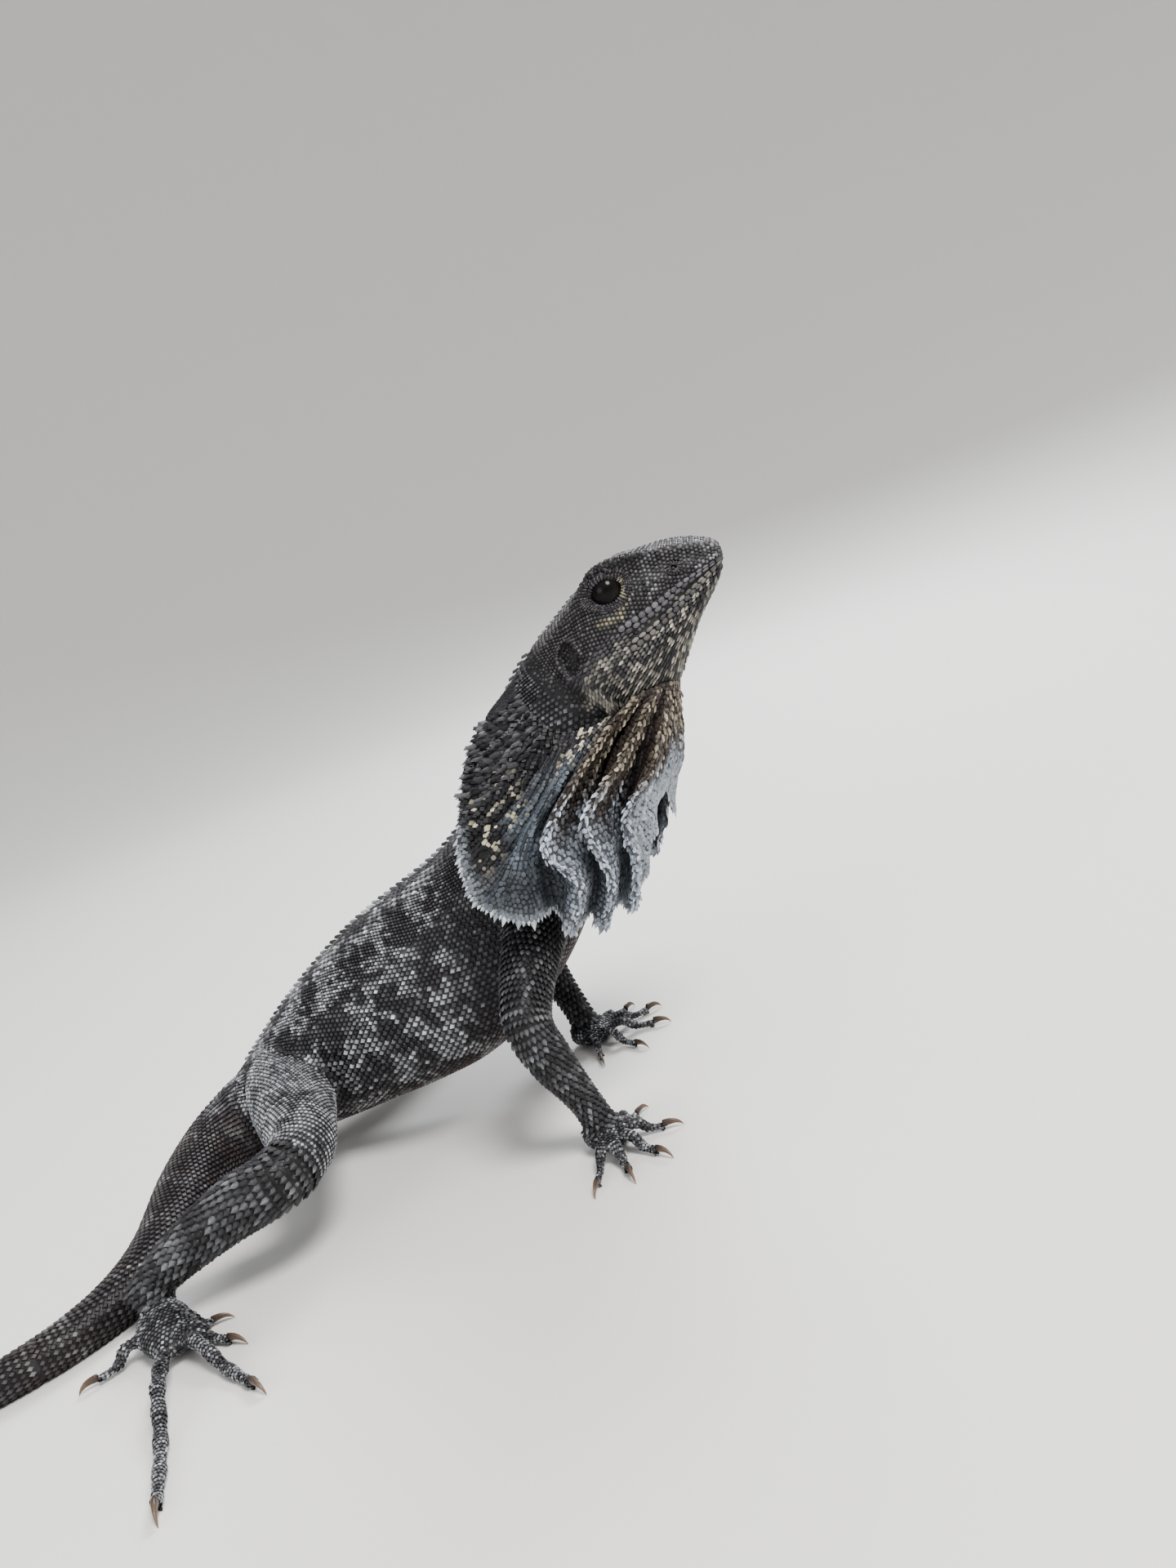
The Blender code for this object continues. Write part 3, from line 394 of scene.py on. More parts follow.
def on_form(grid, u, a):
    """Points of a closed form at rows u and places a round it, from 0 to 1."""
    rows, sides = grid.shape[:2]
    u = np.clip(u, 0, rows - 1.001)
    i, s = u.astype(int), (a % 1.0) * sides
    j = s.astype(int)
    fu, fs = (u - i)[:, None], (s - j)[:, None]
    j, k = j % sides, (j + 1) % sides
    here = grid[i, j] * (1 - fs) + grid[i, k] * fs
    next_row = grid[i + 1, j] * (1 - fs) + grid[i + 1, k] * fs
    return here * (1 - fu) + next_row * fu


def length_along(line):
    return np.concatenate([[0.0], np.cumsum(np.linalg.norm(np.diff(line, axis=0), axis=1))])


def rows_of_scales(grid, zones, start=0.0, end=1.0):
    """Staggered rows on a form. A zone is (from, to round the form, length of a row, width of a scale)."""
    every = np.arange(len(grid), dtype=float)
    found = []
    for a0, a1, step, width in zones:
        whole = a1 - a0 >= 0.9
        middle = grid.mean(axis=1) if whole else on_form(grid, every, np.full(len(grid), (a0 + a1) / 2))
        travelled = length_along(middle)
        places = np.arange(start * travelled[-1], end * travelled[-1], step)
        for number, u in enumerate(np.interp(places, travelled, every)):
            fine = np.linspace(a0, a1, RING_POINTS)
            ring = length_along(on_form(grid, np.full(RING_POINTS, u), fine))
            count = max(1, round(ring[-1] / width))
            shift = 0.5 if count == 1 else 0.25 + 0.5 * (number % 2)
            a = np.interp((np.arange(count) + shift) / count * ring[-1], ring, fine)
            same = np.ones(count)
            found.append(np.column_stack([same * u, a, same * step, same * ring[-1] / count]))
    u, a, step, width = np.vstack(found).T
    ahead, behind = on_form(grid, u + 1.5, a), on_form(grid, np.maximum(u - 1.5, 0), a)
    return dict(at=on_form(grid, u, a), lie=unit(ahead - behind), long=step, wide=width, u=u / len(grid), a=a)


def tree_of(points):
    """A tree that finds the nearest of the points."""
    tree = KDTree(max(1, len(points)))
    for number, point in enumerate(points):
        tree.insert(point, number)
    tree.balance()
    return tree


def settle(scales, spread, reach=1.6):
    """Keeps the scales that lie on the skin, sets them on it, and drops those on top of others."""
    size = 0.5 * (scales["long"] + scales["wide"])
    taken = tree_of(coat_at)
    kept = []
    for number, point in enumerate(scales["at"]):
        spot, normal, _, distance = skin_tree.find_nearest(Vector(point))
        if spot is None or distance > reach:
            continue
        if coat_at:
            _, other, gap = taken.find(spot)
            if gap < spread * 0.5 * (size[number] + coat_size[other]):
                continue
        kept.append((number, spot[:], normal[:]))
    index, at, normal = (np.array(values) for values in zip(*kept))
    lie = scales["lie"][index]
    lie = unit(lie - normal * np.sum(lie * normal, axis=1)[:, None])
    coat_at.extend(Vector(point) for point in at)
    coat_lie.extend(lie)
    coat_size.extend(size[index])
    settled = {key: values[index] for key, values in scales.items()}
    settled.update(at=at, normal=normal, lie=lie)
    return settled


coat_at, coat_lie, coat_size = [], [], []
regions = {}


def lay(region, grid, zones, start=0.0, end=1.0, spread=SPREAD):
    regions.setdefault(region, []).append(settle(rows_of_scales(grid, zones, start, end), spread))


def both_sides(zones):
    return list(zones) + [(1 - a1, 1 - a0, step, width) for a0, a1, step, width in zones]


lay("nape", head_form, [(-0.007, 0.007, 1.6, 9.0)], 0.72, 0.97)
lay("crest", trunk_form, [(-0.007, 0.007, 2.2, 9.0)], 0.02, 0.97)
lay("lips", head_form, both_sides(((0.200, 0.223, 1.9, 9.0), (0.223, 0.246, 2.1, 9.0),
                                   (0.292, 0.313, 2.1, 9.0), (0.313, 0.334, 1.9, 9.0))),
    0.04, 0.60, spread=0.4)
lay("back", trunk_form, both_sides(((0.007, 0.085, 1.75, 1.75), (0.085, 0.165, 1.0, 0.95))), 0.03, 0.99)
lay("trunk", trunk_form, both_sides(((0.165, 0.24, 1.3, 1.3), (0.24, 0.37, 1.65, 1.6),
                                     (0.37, 0.5, 1.45, 1.4))),
    0.03, 0.99)
for name, grid in limb_forms.items():
    if name.startswith("arm"):
        lay("limbs", grid[:ELBOW], [(0.0, 1.0, 1.45, 1.45)], 0.16)
        lay("limbs", grid[ELBOW:], [(0.0, 1.0, 1.6, 1.5)])
    else:
        lay("thighs", grid[:KNEE], [(0.0, 1.0, 1.1, 1.1)], 0.10)
        lay("limbs", grid[KNEE:], [(0.0, 1.0, 1.9, 1.8)])
lay("tail", tail_form[:TAIL_MIDDLE], [(0.0, 1.0, 1.5, 1.45)])
lay("tail", tail_form[TAIL_MIDDLE:TAIL_THIN], [(0.0, 1.0, 1.7, 1.4)])
lay("tail", tail_form[TAIL_THIN:], [(0.0, 1.0, 1.8, 1.1)])
for grid in digit_forms.values():
    lay("paws", grid, [(0.0, 1.0, 0.95, 1.0)], 0.05, 0.99)
for grid in palm_forms.values():
    lay("paws", grid, [(0.0, 1.0, 1.1, 1.1)])
lay("head", head_form, both_sides(((0.0, 0.085, 1.35, 1.3), (0.085, 0.155, 1.0, 0.95),
                                   (0.155, 0.206, 1.0, 1.0))),
    0.02)
lay("cheeks", head_form, both_sides([(0.206, 0.332, 1.35, 1.0)]), 0.58)
lay("throat", head_form, both_sides(((0.332, 0.40, 1.35, 0.95), (0.40, 0.5, 1.7, 1.0))), 0.05)

# bare places left between the rows are filled with grains
laid = tree_of(coat_at)
cells, grains = {}, []
for number in draw.permutation(len(skin_points)):
    point = skin_points[number]
    if point[2] < SOLE:
        continue
    _, index, distance = laid.find(point)
    size = min(GRAIN_SIZE, coat_size[index])
    if distance < SCALE_GAP * coat_size[index] or distance < GRAIN_GAP * size:
        continue
    x, y, z = (int(value) for value in point // CELL)
    close = [other for dx in (-1, 0, 1) for dy in (-1, 0, 1) for dz in (-1, 0, 1)
             for other in cells.get((x + dx, y + dy, z + dz), ())]
    if any(np.linalg.norm(point - other) < GRAIN_GAP * size for other in close):
        continue
    cells.setdefault((x, y, z), []).append(point)
    grains.append((point, coat_lie[index], size))
at, lie, size = (np.array(values) for values in zip(*grains))
regions["grain"] = [settle(dict(at=at, lie=lie, long=size, wide=size, u=0 * size, a=0 * size), 0.0)]

# The markings: a near-black ground, off-white scales in lacy blotches and bands, cream on throat and cheek,
# with painted light on thighs, snout and crown and painted shade on arms, shanks and along the brow
GROUND = np.array([0.014, 0.012, 0.016])
ASH = np.array([0.082, 0.078, 0.090])
CHALK = np.array([0.54, 0.56, 0.59])
CREAM = np.array([0.46, 0.41, 0.29])
RUST = np.array([0.085, 0.046, 0.032])
HIDE_SHADE = 0.14
EYE_STREAK = ((41.6, 122.4), (38.5, 117.6), (33.0, 117.2))
# the line along the brow where painted shadow falls over the eye
BROW_SHADOW = ((46.0, 129.6), (38.5, 129.4), (31.0, 126.6))


def cloud(points, size, seed):
    """Soft noise from 0 to 1, with blotches of about the given size in millimetres."""
    shift = Vector((seed * 17.3, seed * 5.1, -seed * 9.7))
    return np.array([0.5 + 0.5 * noise.noise(Vector(p) / size + shift) for p in points])


def blend(colours, other, share):
    return colours + (other - colours) * np.clip(share, 0, 1)[:, None]


def step(values, low, high):
    t = np.clip((values - low) / (high - low), 0, 1)
    return t * t * (3 - 2 * t)


def near_lines(points, knots):
    """Distance of each point to a bent line, seen from the side."""
    far = []
    for start, end in zip(np.array(knots[:-1], float), np.array(knots[1:], float)):
        flat = points[:, [0, 2]] - start
        share = np.clip(flat @ (end - start) / np.sum((end - start) ** 2), 0, 1)
        far.append(np.linalg.norm(flat - share[:, None] * (end - start), axis=1))
    return np.min(far, axis=0)


def markings_and_painted_light(region, scales):
    """The tones of a region's scales, blotched and banded as that part of the body is, with painted light and
    shade on limbs and head.
    """
    at, u, a = scales["at"], scales["u"], scales["a"]
    count = len(at)
    luck, bright = draw.random(count), draw.random(count)
    blotch, fleck = cloud(at, 7.0, 1), cloud(at, 2.6, 2)
    tones = blend(np.tile(GROUND, (count, 1)), ASH, 0.15 + 0.85 * luck ** 1.5)
    around = np.minimum(a % 1.0, 1 - a % 1.0)
    if region in ("nape", "crest", "back", "trunk"):
        bands = 0.5 + 0.5 * np.sin(at[:, 0] * 0.34 + at[:, 2] * 0.16 + 5.0 * blotch)
        pale = step(0.56 * blotch + 0.42 * fleck + 0.17 * bands + 0.16 * luck, 0.60, 0.77)
        pale = pale * (1 - 0.75 * step(at[:, 0], -34, -22))
        tones = blend(tones, CHALK, pale * (0.15 + 0.85 * bright ** 1.5))
        belly = step(around, 0.34, 0.43) * (0.10 + 0.75 * fleck)
        tones = blend(tones, RUST, belly * (0.4 + 0.6 * bright))
    elif region == "tail":
        bands = 0.5 + 0.5 * np.sin(u * 40 + 2.0 * blotch)
        hips = step(at[:, 2], 19.0, 27.0)
        tones = blend(tones, RUST, (0.25 * fleck + 0.15 * bands) * (1 - hips))
        pale = step(0.5 * blotch + 0.35 * bands + 0.25 * luck, 0.66, 0.92)
        tones = blend(tones, CHALK, pale * 0.35 * bright)
        pale = hips * step(0.56 * blotch + 0.42 * fleck + 0.16 * luck, 0.50, 0.66)
        tones = blend(tones, CHALK, pale * 0.7 * bright)
    elif region == "thighs":
        # real pale blotches, made more common and brighter by painted light falling from above
        pale = step(0.5 * blotch + 0.45 * fleck + 0.25 * luck, 0.38, 0.68)
        tones = blend(tones, CHALK, 0.10 + pale * (0.12 + 0.88 * bright))
    elif region == "limbs":
        pale = step(0.5 * blotch + 0.45 * fleck + 0.25 * luck, 0.52, 0.80)
        # the whole tone halved: painted shade on arms and shanks
        tones = blend(tones, CHALK, 0.04 + pale * (0.10 + 0.62 * bright ** 1.5)) * 0.48
    elif region == "paws":
        rings = 0.5 + 0.5 * np.sin(u * 15.0 + 4.0 * cloud(at, 12.0, 3))
        pale = step(0.28 * rings + 0.45 * fleck + 0.40 * luck, 0.42, 0.78)
        tones = blend(tones, CHALK, 0.04 + pale * (0.12 + 0.55 * bright))
    elif region == "lips":
        tones = blend(tones, CHALK * (0.8, 0.78, 0.74), 0.04 + 0.08 * bright)
        tones = blend(tones, CREAM, step(around, 0.28, 0.30) * 0.20 * luck)
    elif region == "head":
        low = step(around, 0.12, 0.20)
        pale = step(fleck + 0.30 * luck, 0.66, 0.92) * (0.10 + 0.30 * low)
        tones = blend(tones * (0.9, 0.86, 0.80), CHALK, pale * bright)
        # painted highlight on the top of the snout and on the crown over the eyes
        tones = blend(tones, CHALK, step(at[:, 0], 52, 63) * 0.22 * bright)
        tones = blend(tones, CHALK, (1 - low) * step(at[:, 0], 38, 46) * 0.16 * bright)
        tones = blend(tones, CREAM, step(-near_lines(at, EYE_STREAK), -1.1, -0.5) * (0.35 + 0.35 * luck))
        # painted shadow of the brow's shelf over the eye
        tones = tones * (1 - 0.6 * step(-near_lines(at, BROW_SHADOW), -1.8, -0.6))[:, None]
    elif region in ("throat", "cheeks"):
        flecks = step(0.75 * cloud(at * (1, 1, 0.45), 1.5, 4) + 0.45 * luck, 0.47, 0.72)
        dim = 0.95 if region == "throat" else 0.72 * step(around, 0.22, 0.30)
        tones = blend(tones, CREAM * (1.08, 1.14, 1.36), flecks * dim * (0.35 + 0.65 * bright))
        tones = blend(tones, GROUND, step(cloud(at, 4.0, 5), 0.52, 0.66) * 0.6)
    return tones * (0.75 + 0.5 * draw.random(count))[:, None]


# The scales' shapes: places along, across and up, as shares of length, width and depth, then faces and a
# tone factor for each corner, painted shade dark at the low rim and a painted highlight on the raised top. A
# keeled scale has a raised pointed tip, a lozenge a flat top with sides in painted shade. Grains and plates
# have six sides, the labial plates along the lips eight.
KEELED = (np.array([(-0.50, 0.0, -0.1), (-0.30, 0.44, 0.0), (0.20, 0.46, 0.25), (0.74, 0.0, 0.75),
                    (0.20, -0.46, 0.25), (-0.30, -0.44, 0.0), (-0.18, 0.0, 0.60), (0.42, 0.0, 1.05)]),
          ((6, 1, 0), (6, 7, 1), (7, 2, 1), (7, 3, 2), (5, 6, 0), (7, 6, 5), (4, 7, 5), (3, 7, 4),
           (1, 2, 0), (2, 3, 0), (3, 4, 0), (4, 5, 0)),
          np.array([0.30, 0.35, 0.50, 1.30, 0.50, 0.35, 1.0, 1.25]))
LOZENGE = (np.array([(-0.52, 0.0, -0.1), (0.06, -0.50, 0.0), (0.66, 0.0, 0.45), (0.06, 0.50, 0.0),
                     (-0.28, 0.0, 0.55), (0.06, -0.33, 0.72), (0.46, 0.0, 1.0), (0.06, 0.33, 0.72)]),
           ((0, 1, 4), (1, 5, 4), (1, 2, 5), (2, 6, 5), (2, 3, 6), (3, 7, 6), (3, 0, 7), (0, 4, 7),
            (4, 5, 6), (4, 6, 7), (0, 2, 1), (0, 3, 2)),
           np.array([0.16, 0.20, 0.35, 0.20, 0.90, 1.0, 1.2, 1.0]))


def plate_shape(sides, outer, inner, start, turn, rim_shade):
    """A low plate with a rim, a flat top that may be turned on it, and a point in the middle."""
    ring = start + np.arange(sides) * 2 * math.pi / sides
    rim = np.column_stack([outer * np.cos(ring), outer * np.sin(ring), np.full(sides, -0.15)])
    top = np.column_stack([inner * np.cos(ring + turn), inner * np.sin(ring + turn), np.full(sides, 0.72)])
    faces = [(k, (k + 1) % sides, sides + k) for k in range(sides)]
    faces += [((k + 1) % sides, sides + (k + 1) % sides, sides + k) for k in range(sides)]
    faces += [(sides + k, sides + (k + 1) % sides, 2 * sides) for k in range(sides)]
    faces += [(0, k + 1, k) for k in range(1, sides - 1)]
    # painted shade on the rim and a painted highlight on the raised middle point
    shade = np.array([rim_shade] * sides + [1.0] * sides + [1.15])
    return np.vstack([rim, top, [(0.05, 0.0, 1.0)]]), tuple(faces), shade


GRAIN = plate_shape(6, 0.52, 0.30, 0.0, 0.5, 0.35)
PLATE = plate_shape(6, 0.52, 0.43, 0.0, 0.0, 0.22)
LABIAL = plate_shape(8, 0.56, 0.45, math.pi / 8, 0.0, 0.15)
FLOOR_GAP, PATCH = 0.02, 0.003


def paint(piece, tones):
    """Gives each point of a piece its own tone."""
    colours = np.ones((len(tones), 4))
    colours[:, :3] = tones
    layer = piece.data.color_attributes.new("Tone", "FLOAT_COLOR", "POINT")
    layer.data.foreach_set("color", colours.ravel())


def scale_mesh(name, scales, tones, shape, depth):
    """Joins one copy of a scale at every place, with its tone and its small patch of the unwrap."""
    form, faces, shade = shape
    lie, normal = scales["lie"], scales["normal"]
    across = np.cross(normal, lie)
    count, corners = len(lie), len(form)
    sizes = (scales["long"], scales["wide"], depth)
    long, wide, deep = (np.broadcast_to(size, count)[:, None] for size in sizes)
    points = scales["at"][:, None] + lie[:, None] * (form[:, 0] * long)[:, :, None]
    points = points + across[:, None] * (form[:, 1] * wide)[:, :, None]
    points = (points + normal[:, None] * (form[:, 2] * deep)[:, :, None]).reshape(-1, 3)
    points[:, 2] = np.maximum(points[:, 2], FLOOR_GAP)
    every = (np.array(faces)[None] + (np.arange(count) * corners)[:, None, None]).reshape(-1, 3)
    piece = mesh_piece(name, points, every.tolist())
    # each corner's tone carries the shape's painted shade and painted highlight
    paint(piece, np.clip(tones[:, None] * shade[:, None], 0, 0.9).reshape(-1, 3))
    root = np.column_stack([np.clip(scales["u"], 0, 1), scales["a"] % 1.0])
    patch = root[:, None] + form[:, :2] * PATCH
    unwrap = piece.data.uv_layers.new(name="OFBake")
    unwrap.data.foreach_set("uv", patch.reshape(-1, 2)[every.ravel()].ravel())
    piece.data.materials.append(scale_horn)
    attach(piece, "root")


def gathered(region):
    return {key: np.concatenate([part[key] for part in regions[region]]) for key in regions[region][0]}


def grain_group():
    """Fine mottling and wrinkles shared by hide and scales."""
    group = bpy.data.node_groups.new("dry_hide", "ShaderNodeTree")
    sockets = (("Tone", "NodeSocketColor", "INPUT"), ("Size", "NodeSocketFloat", "INPUT"),
               ("Tone", "NodeSocketColor", "OUTPUT"), ("Roughness", "NodeSocketFloat", "OUTPUT"),
               ("Height", "NodeSocketFloat", "OUTPUT"))
    for title, kind, way in sockets:
        group.interface.new_socket(name=title, in_out=way, socket_type=kind)
    nodes, links = group.nodes, group.links
    come, go = nodes.new("NodeGroupInput"), nodes.new("NodeGroupOutput")
    place = nodes.new("ShaderNodeTexCoord")
    mottle = nodes.new("ShaderNodeTexNoise")
    mottle.inputs["Detail"].default_value = 3.0
    links.new(place.outputs["Object"], mottle.inputs["Vector"])
    links.new(come.outputs["Size"], mottle.inputs["Scale"])
    spread = nodes.new("ShaderNodeMapRange")
    spread.inputs["From Min"].default_value, spread.inputs["From Max"].default_value = 0.3, 0.7
    spread.inputs["To Min"].default_value, spread.inputs["To Max"].default_value = 0.72, 1.18
    links.new(mottle.outputs["Fac"], spread.inputs["Value"])
    shade = nodes.new("ShaderNodeMix")
    shade.data_type, shade.blend_type = "RGBA", "MULTIPLY"
    shade.inputs["Factor"].default_value = 1.0
    links.new(come.outputs["Tone"], shade.inputs["A"])
    links.new(spread.outputs["Result"], shade.inputs["B"])
    rough = nodes.new("ShaderNodeMapRange")
    rough.inputs["To Min"].default_value, rough.inputs["To Max"].default_value = 0.38, 0.66
    links.new(mottle.outputs["Fac"], rough.inputs["Value"])
    links.new(shade.outputs["Result"], go.inputs["Tone"])
    links.new(rough.outputs["Result"], go.inputs["Roughness"])
    links.new(mottle.outputs["Fac"], go.inputs["Height"])
    return group


dry_hide = grain_group()


def hide_material(name, size, bump, coat=0.0):
    """Dry hide or horn in the tones painted on a piece, with grain of the given fineness."""
    made = bpy.data.materials.new(name)
    made.use_nodes = True
    nodes, links = made.node_tree.nodes, made.node_tree.links
    shader = nodes["Principled BSDF"]
    tone = nodes.new("ShaderNodeAttribute")
    tone.attribute_name = "Tone"
    hide = nodes.new("ShaderNodeGroup")
    hide.node_tree = dry_hide
    hide.inputs["Size"].default_value = size
    raised = nodes.new("ShaderNodeBump")
    raised.inputs["Strength"].default_value = bump
    raised.inputs["Distance"].default_value = 0.0002
    links.new(tone.outputs["Color"], hide.inputs["Tone"])
    links.new(hide.outputs["Tone"], shader.inputs["Base Color"])
    links.new(hide.outputs["Roughness"], shader.inputs["Roughness"])
    links.new(hide.outputs["Height"], raised.inputs["Height"])
    links.new(raised.outputs["Normal"], shader.inputs["Normal"])
    shader.inputs["Specular IOR Level"].default_value = 0.45
    shader.inputs["Coat Weight"].default_value = coat
    return made


scale_horn = hide_material("scale_horn", 1600.0, 0.25)
coat_spots, coat_tones = [], []
for region, shape, depth in (("nape", KEELED, 0.80), ("crest", KEELED, 1.35), ("back", LOZENGE, 0.55),
                             ("trunk", LOZENGE, 0.50), ("tail", LOZENGE, 0.50), ("thighs", LOZENGE, 0.45),
                             ("limbs", KEELED, 0.80), ("paws", LOZENGE, 0.32), ("lips", LABIAL, 0.62),
                             ("head", GRAIN, 0.42), ("cheeks", KEELED, 0.35), ("throat", KEELED, 0.45)):
    scales = gathered(region)
    tones = markings_and_painted_light(region, scales)
    coat_spots.append(scales["at"])
    coat_tones.append(tones)
    scale_mesh("scales_" + region, scales, tones, shape, depth)

# grains and the skin between the scales take the tone of the nearest scale, the skin far darker
coat_tones = np.concatenate(coat_tones)
nearest = tree_of(np.concatenate(coat_spots))


def tones_near(points):
    return coat_tones[[nearest.find(point)[1] for point in points]]


scales = gathered("grain")
luck = draw.random(len(scales["at"]))
scale_mesh("scales_grain", scales, tones_near(scales["at"]) * (0.5 + 0.5 * luck)[:, None], GRAIN, 0.28)
paint(skin, tones_near(skin_points) * HIDE_SHADE)
skin.data.materials.clear()
skin.data.materials.append(hide_material("hide", 900.0, 0.4))
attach(skin, "root")
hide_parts(*[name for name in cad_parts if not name.startswith(("eye_", "frill_"))])


# Claws
# Twenty hooked claws of brown horn, one at the end of each finger and toe, dark at the root and paler at
# the point. One is shaped from a ball, and the rest are copies set over the ends of the digits.
CLAW_DARK, CLAW_PALE = np.array([0.030, 0.018, 0.012]), np.array([0.20, 0.13, 0.085])
CLAW_TAPER, CLAW_CURL, CLAW_ARCH = 0.65, 1.35, 0.55
UP = np.array([0, 0, 1])

bpy.ops.object.select_all(action="DESELECT")
bpy.ops.mesh.primitive_uv_sphere_add(segments=8, ring_count=8, radius=1.0, location=(0, 0, 0))
hook = bpy.context.object
ball = read_rows(hook.data.vertices, "co")
claw_share = (ball[:, 2] + 1) / 2
claw_round = unit(ball * (1, 1, 0)) * (np.linalg.norm(ball[:, :2], axis=1) > 1e-4)[:, None]
claw_round = claw_round * (0.85 * (1 - claw_share) ** CLAW_TAPER)[:, None]
paint(hook, blend(np.tile(CLAW_DARK, (len(ball), 1)), CLAW_PALE, claw_share))
hook.data.materials.append(hide_material("claw_horn", 500.0, 0.1, coat=0.4))
hook.data.shade_smooth()
for number, (nail, level, thick) in enumerate(nails, 1):
    claw = hook
    if number > 1:
        claw = hook.copy()
        claw.data = hook.data.copy()
        bpy.context.scene.collection.objects.link(claw)
    claw.name = claw.data.name = "claw_%02d" % number
    beside = np.cross(UP, level)
    arch = CLAW_ARCH * np.sin(math.pi * claw_share) * (1 - 0.4 * claw_share)
    height = thick * 1.15 * (1 - claw_share ** 2.2) + arch + 0.08
    reach = CLAW_LENGTH * (np.sin(claw_share * CLAW_CURL) * 1.14 - 0.18)
    hooked = np.array(nail) * (1, 1, 0) + level * reach[:, None] + UP * height[:, None]
    hooked = hooked + beside * (claw_round[:, 0] * thick * 0.50)[:, None]
    hooked = hooked + UP * (claw_round[:, 1] * thick * 0.85)[:, None]
    hooked[:, 2] = np.maximum(hooked[:, 2], FLOOR_GAP)
    write_points(claw, hooked)
    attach(claw, "root")


# Frill
# A ruff of thin skin round the neck on rods of gristle, folded back in pleats like a closed umbrella.
# Each half is one sheet hung on lines from its root to a free edge of small white teeth. The folds stand
# out at the crests and lie in toward the neck at the hollows. Crests are spiny, and the nape is ragged.
FRILL_LINES = (
    ((8.6, -4.0, 111.2), (0.0, -6.4, 105.2)),
    ((9.4, -8.6, 106.0), (-4.0, -13.6, 100.6)),
    ((11.0, -11.4, 101.0), (2.0, -17.6, 96.0), (-8.0, -20.6, 93.6)),
    ((13.5, -12.2, 97.2), (4.5, -21.0, 91.5), (-2.5, -25.5, 87.5), (-10.4, -27.0, 85.4)),
    ((16.5, -12.4, 95.6), (6.0, -22.0, 86.0), (-6.0, -29.0, 79.0), (-13.4, -31.0, 75.4)),
    ((19.5, -12.3, 95.2), (9.5, -20.5, 84.0), (-2.0, -27.5, 73.0), (-12.4, -34.0, 67.0)),
    ((22.5, -12.0, 95.4), (13.5, -25.0, 86.5), (2.0, -31.0, 76.0), (-7.0, -36.0, 62.6)),
    ((26.6, -11.0, 96.0), (17.0, -25.0, 88.0), (3.0, -32.0, 74.0), (-0.4, -35.4, 58.8)),
    ((31.6, -10.0, 97.2), (20.2, -18.6, 88.5), (8.0, -24.4, 76.0), (4.6, -28.0, 59.6)),
    ((37.2, -9.6, 99.4), (24.6, -25.0, 91.5), (8.8, -40.0, 75.6), (14.0, -35.0, 63.6), (6.1, -31.0, 51.5)),
    ((39.4, -9.2, 98.8), (26.4, -13.6, 88.5), (18.4, -18.2, 72.0), (11.0, -21.0, 54.0)),
    ((41.4, -7.6, 99.2), (29.0, -24.0, 86.0), (18.6, -36.0, 77.9), (19.6, -31.0, 61.4), (12.3, -27.0, 49.2)),
    ((42.6, -6.2, 99.0), (32.4, -11.0, 86.0), (25.0, -14.5, 70.0), (17.6, -17.5, 54.0)),
    ((43.6, -4.8, 98.7), (35.2, -17.5, 81.9), (26.7, -29.0, 74.3), (25.6, -26.5, 61.0), (20.4, -22.0, 50.4)),
    ((44.2, -3.6, 98.3), (36.6, -12.0, 82.0), (31.0, -20.5, 74.0), (29.4, -20.0, 65.4)),
    ((44.6, -2.2, 97.8), (38.2, -6.8, 84.0), (31.4, -9.6, 72.0)),
    ((44.4, -0.4, 97.0), (39.8, -0.4, 79.5), (33.5, -0.4, 73.0)))
FAR_LOBE_LINE, FAR_LOBE = 15, ((44.6, -2.2, 97.8), (38.2, -6.8, 84.0), (31.8, -8.0, 63.6))
CRESTS, HOLLOWS, PLEATS = (9.0, 11.0, 13.0), (8.0, 10.0, 12.0), (9.6, 11.6, 13.8, 14.5, 15.2, 15.8)
LINE_STEPS, FRILL_ROWS = 18, 46
FRILL_THICK, PLEAT_DEPTH, RUFFLE_DEPTH = 0.5, 0.30, 2.175


def evened(line, count):
    """Points spaced evenly by length along the smooth curve of a line."""
    fine = curve_at(line, np.linspace(0, len(line) - 1, 24 * len(line)))
    travelled = length_along(fine)
    wanted = np.linspace(0, travelled[-1], count)
    return np.column_stack([np.interp(wanted, travelled, fine[:, k]) for k in range(3)])


def softened(sheet, reach, width):
    """A sheet whose creases are rolled a little, its first and last columns kept."""
    kernel = np.exp(-0.5 * (np.arange(-reach, reach + 1) / width) ** 2)
    padded = np.pad(sheet, ((0, 0), (reach, reach), (0, 0)), mode="reflect", reflect_type="odd")
    columns = sheet.shape[1]
    return sum(share * padded[:, k:k + columns] for k, share in enumerate(kernel / kernel.sum()))


def outward_normals(sheet):
    normal = unit(np.cross(np.gradient(sheet, axis=0), np.gradient(sheet, axis=1)))
    return normal if (normal[:, :, 1] < 0).mean() > 0.5 else -normal


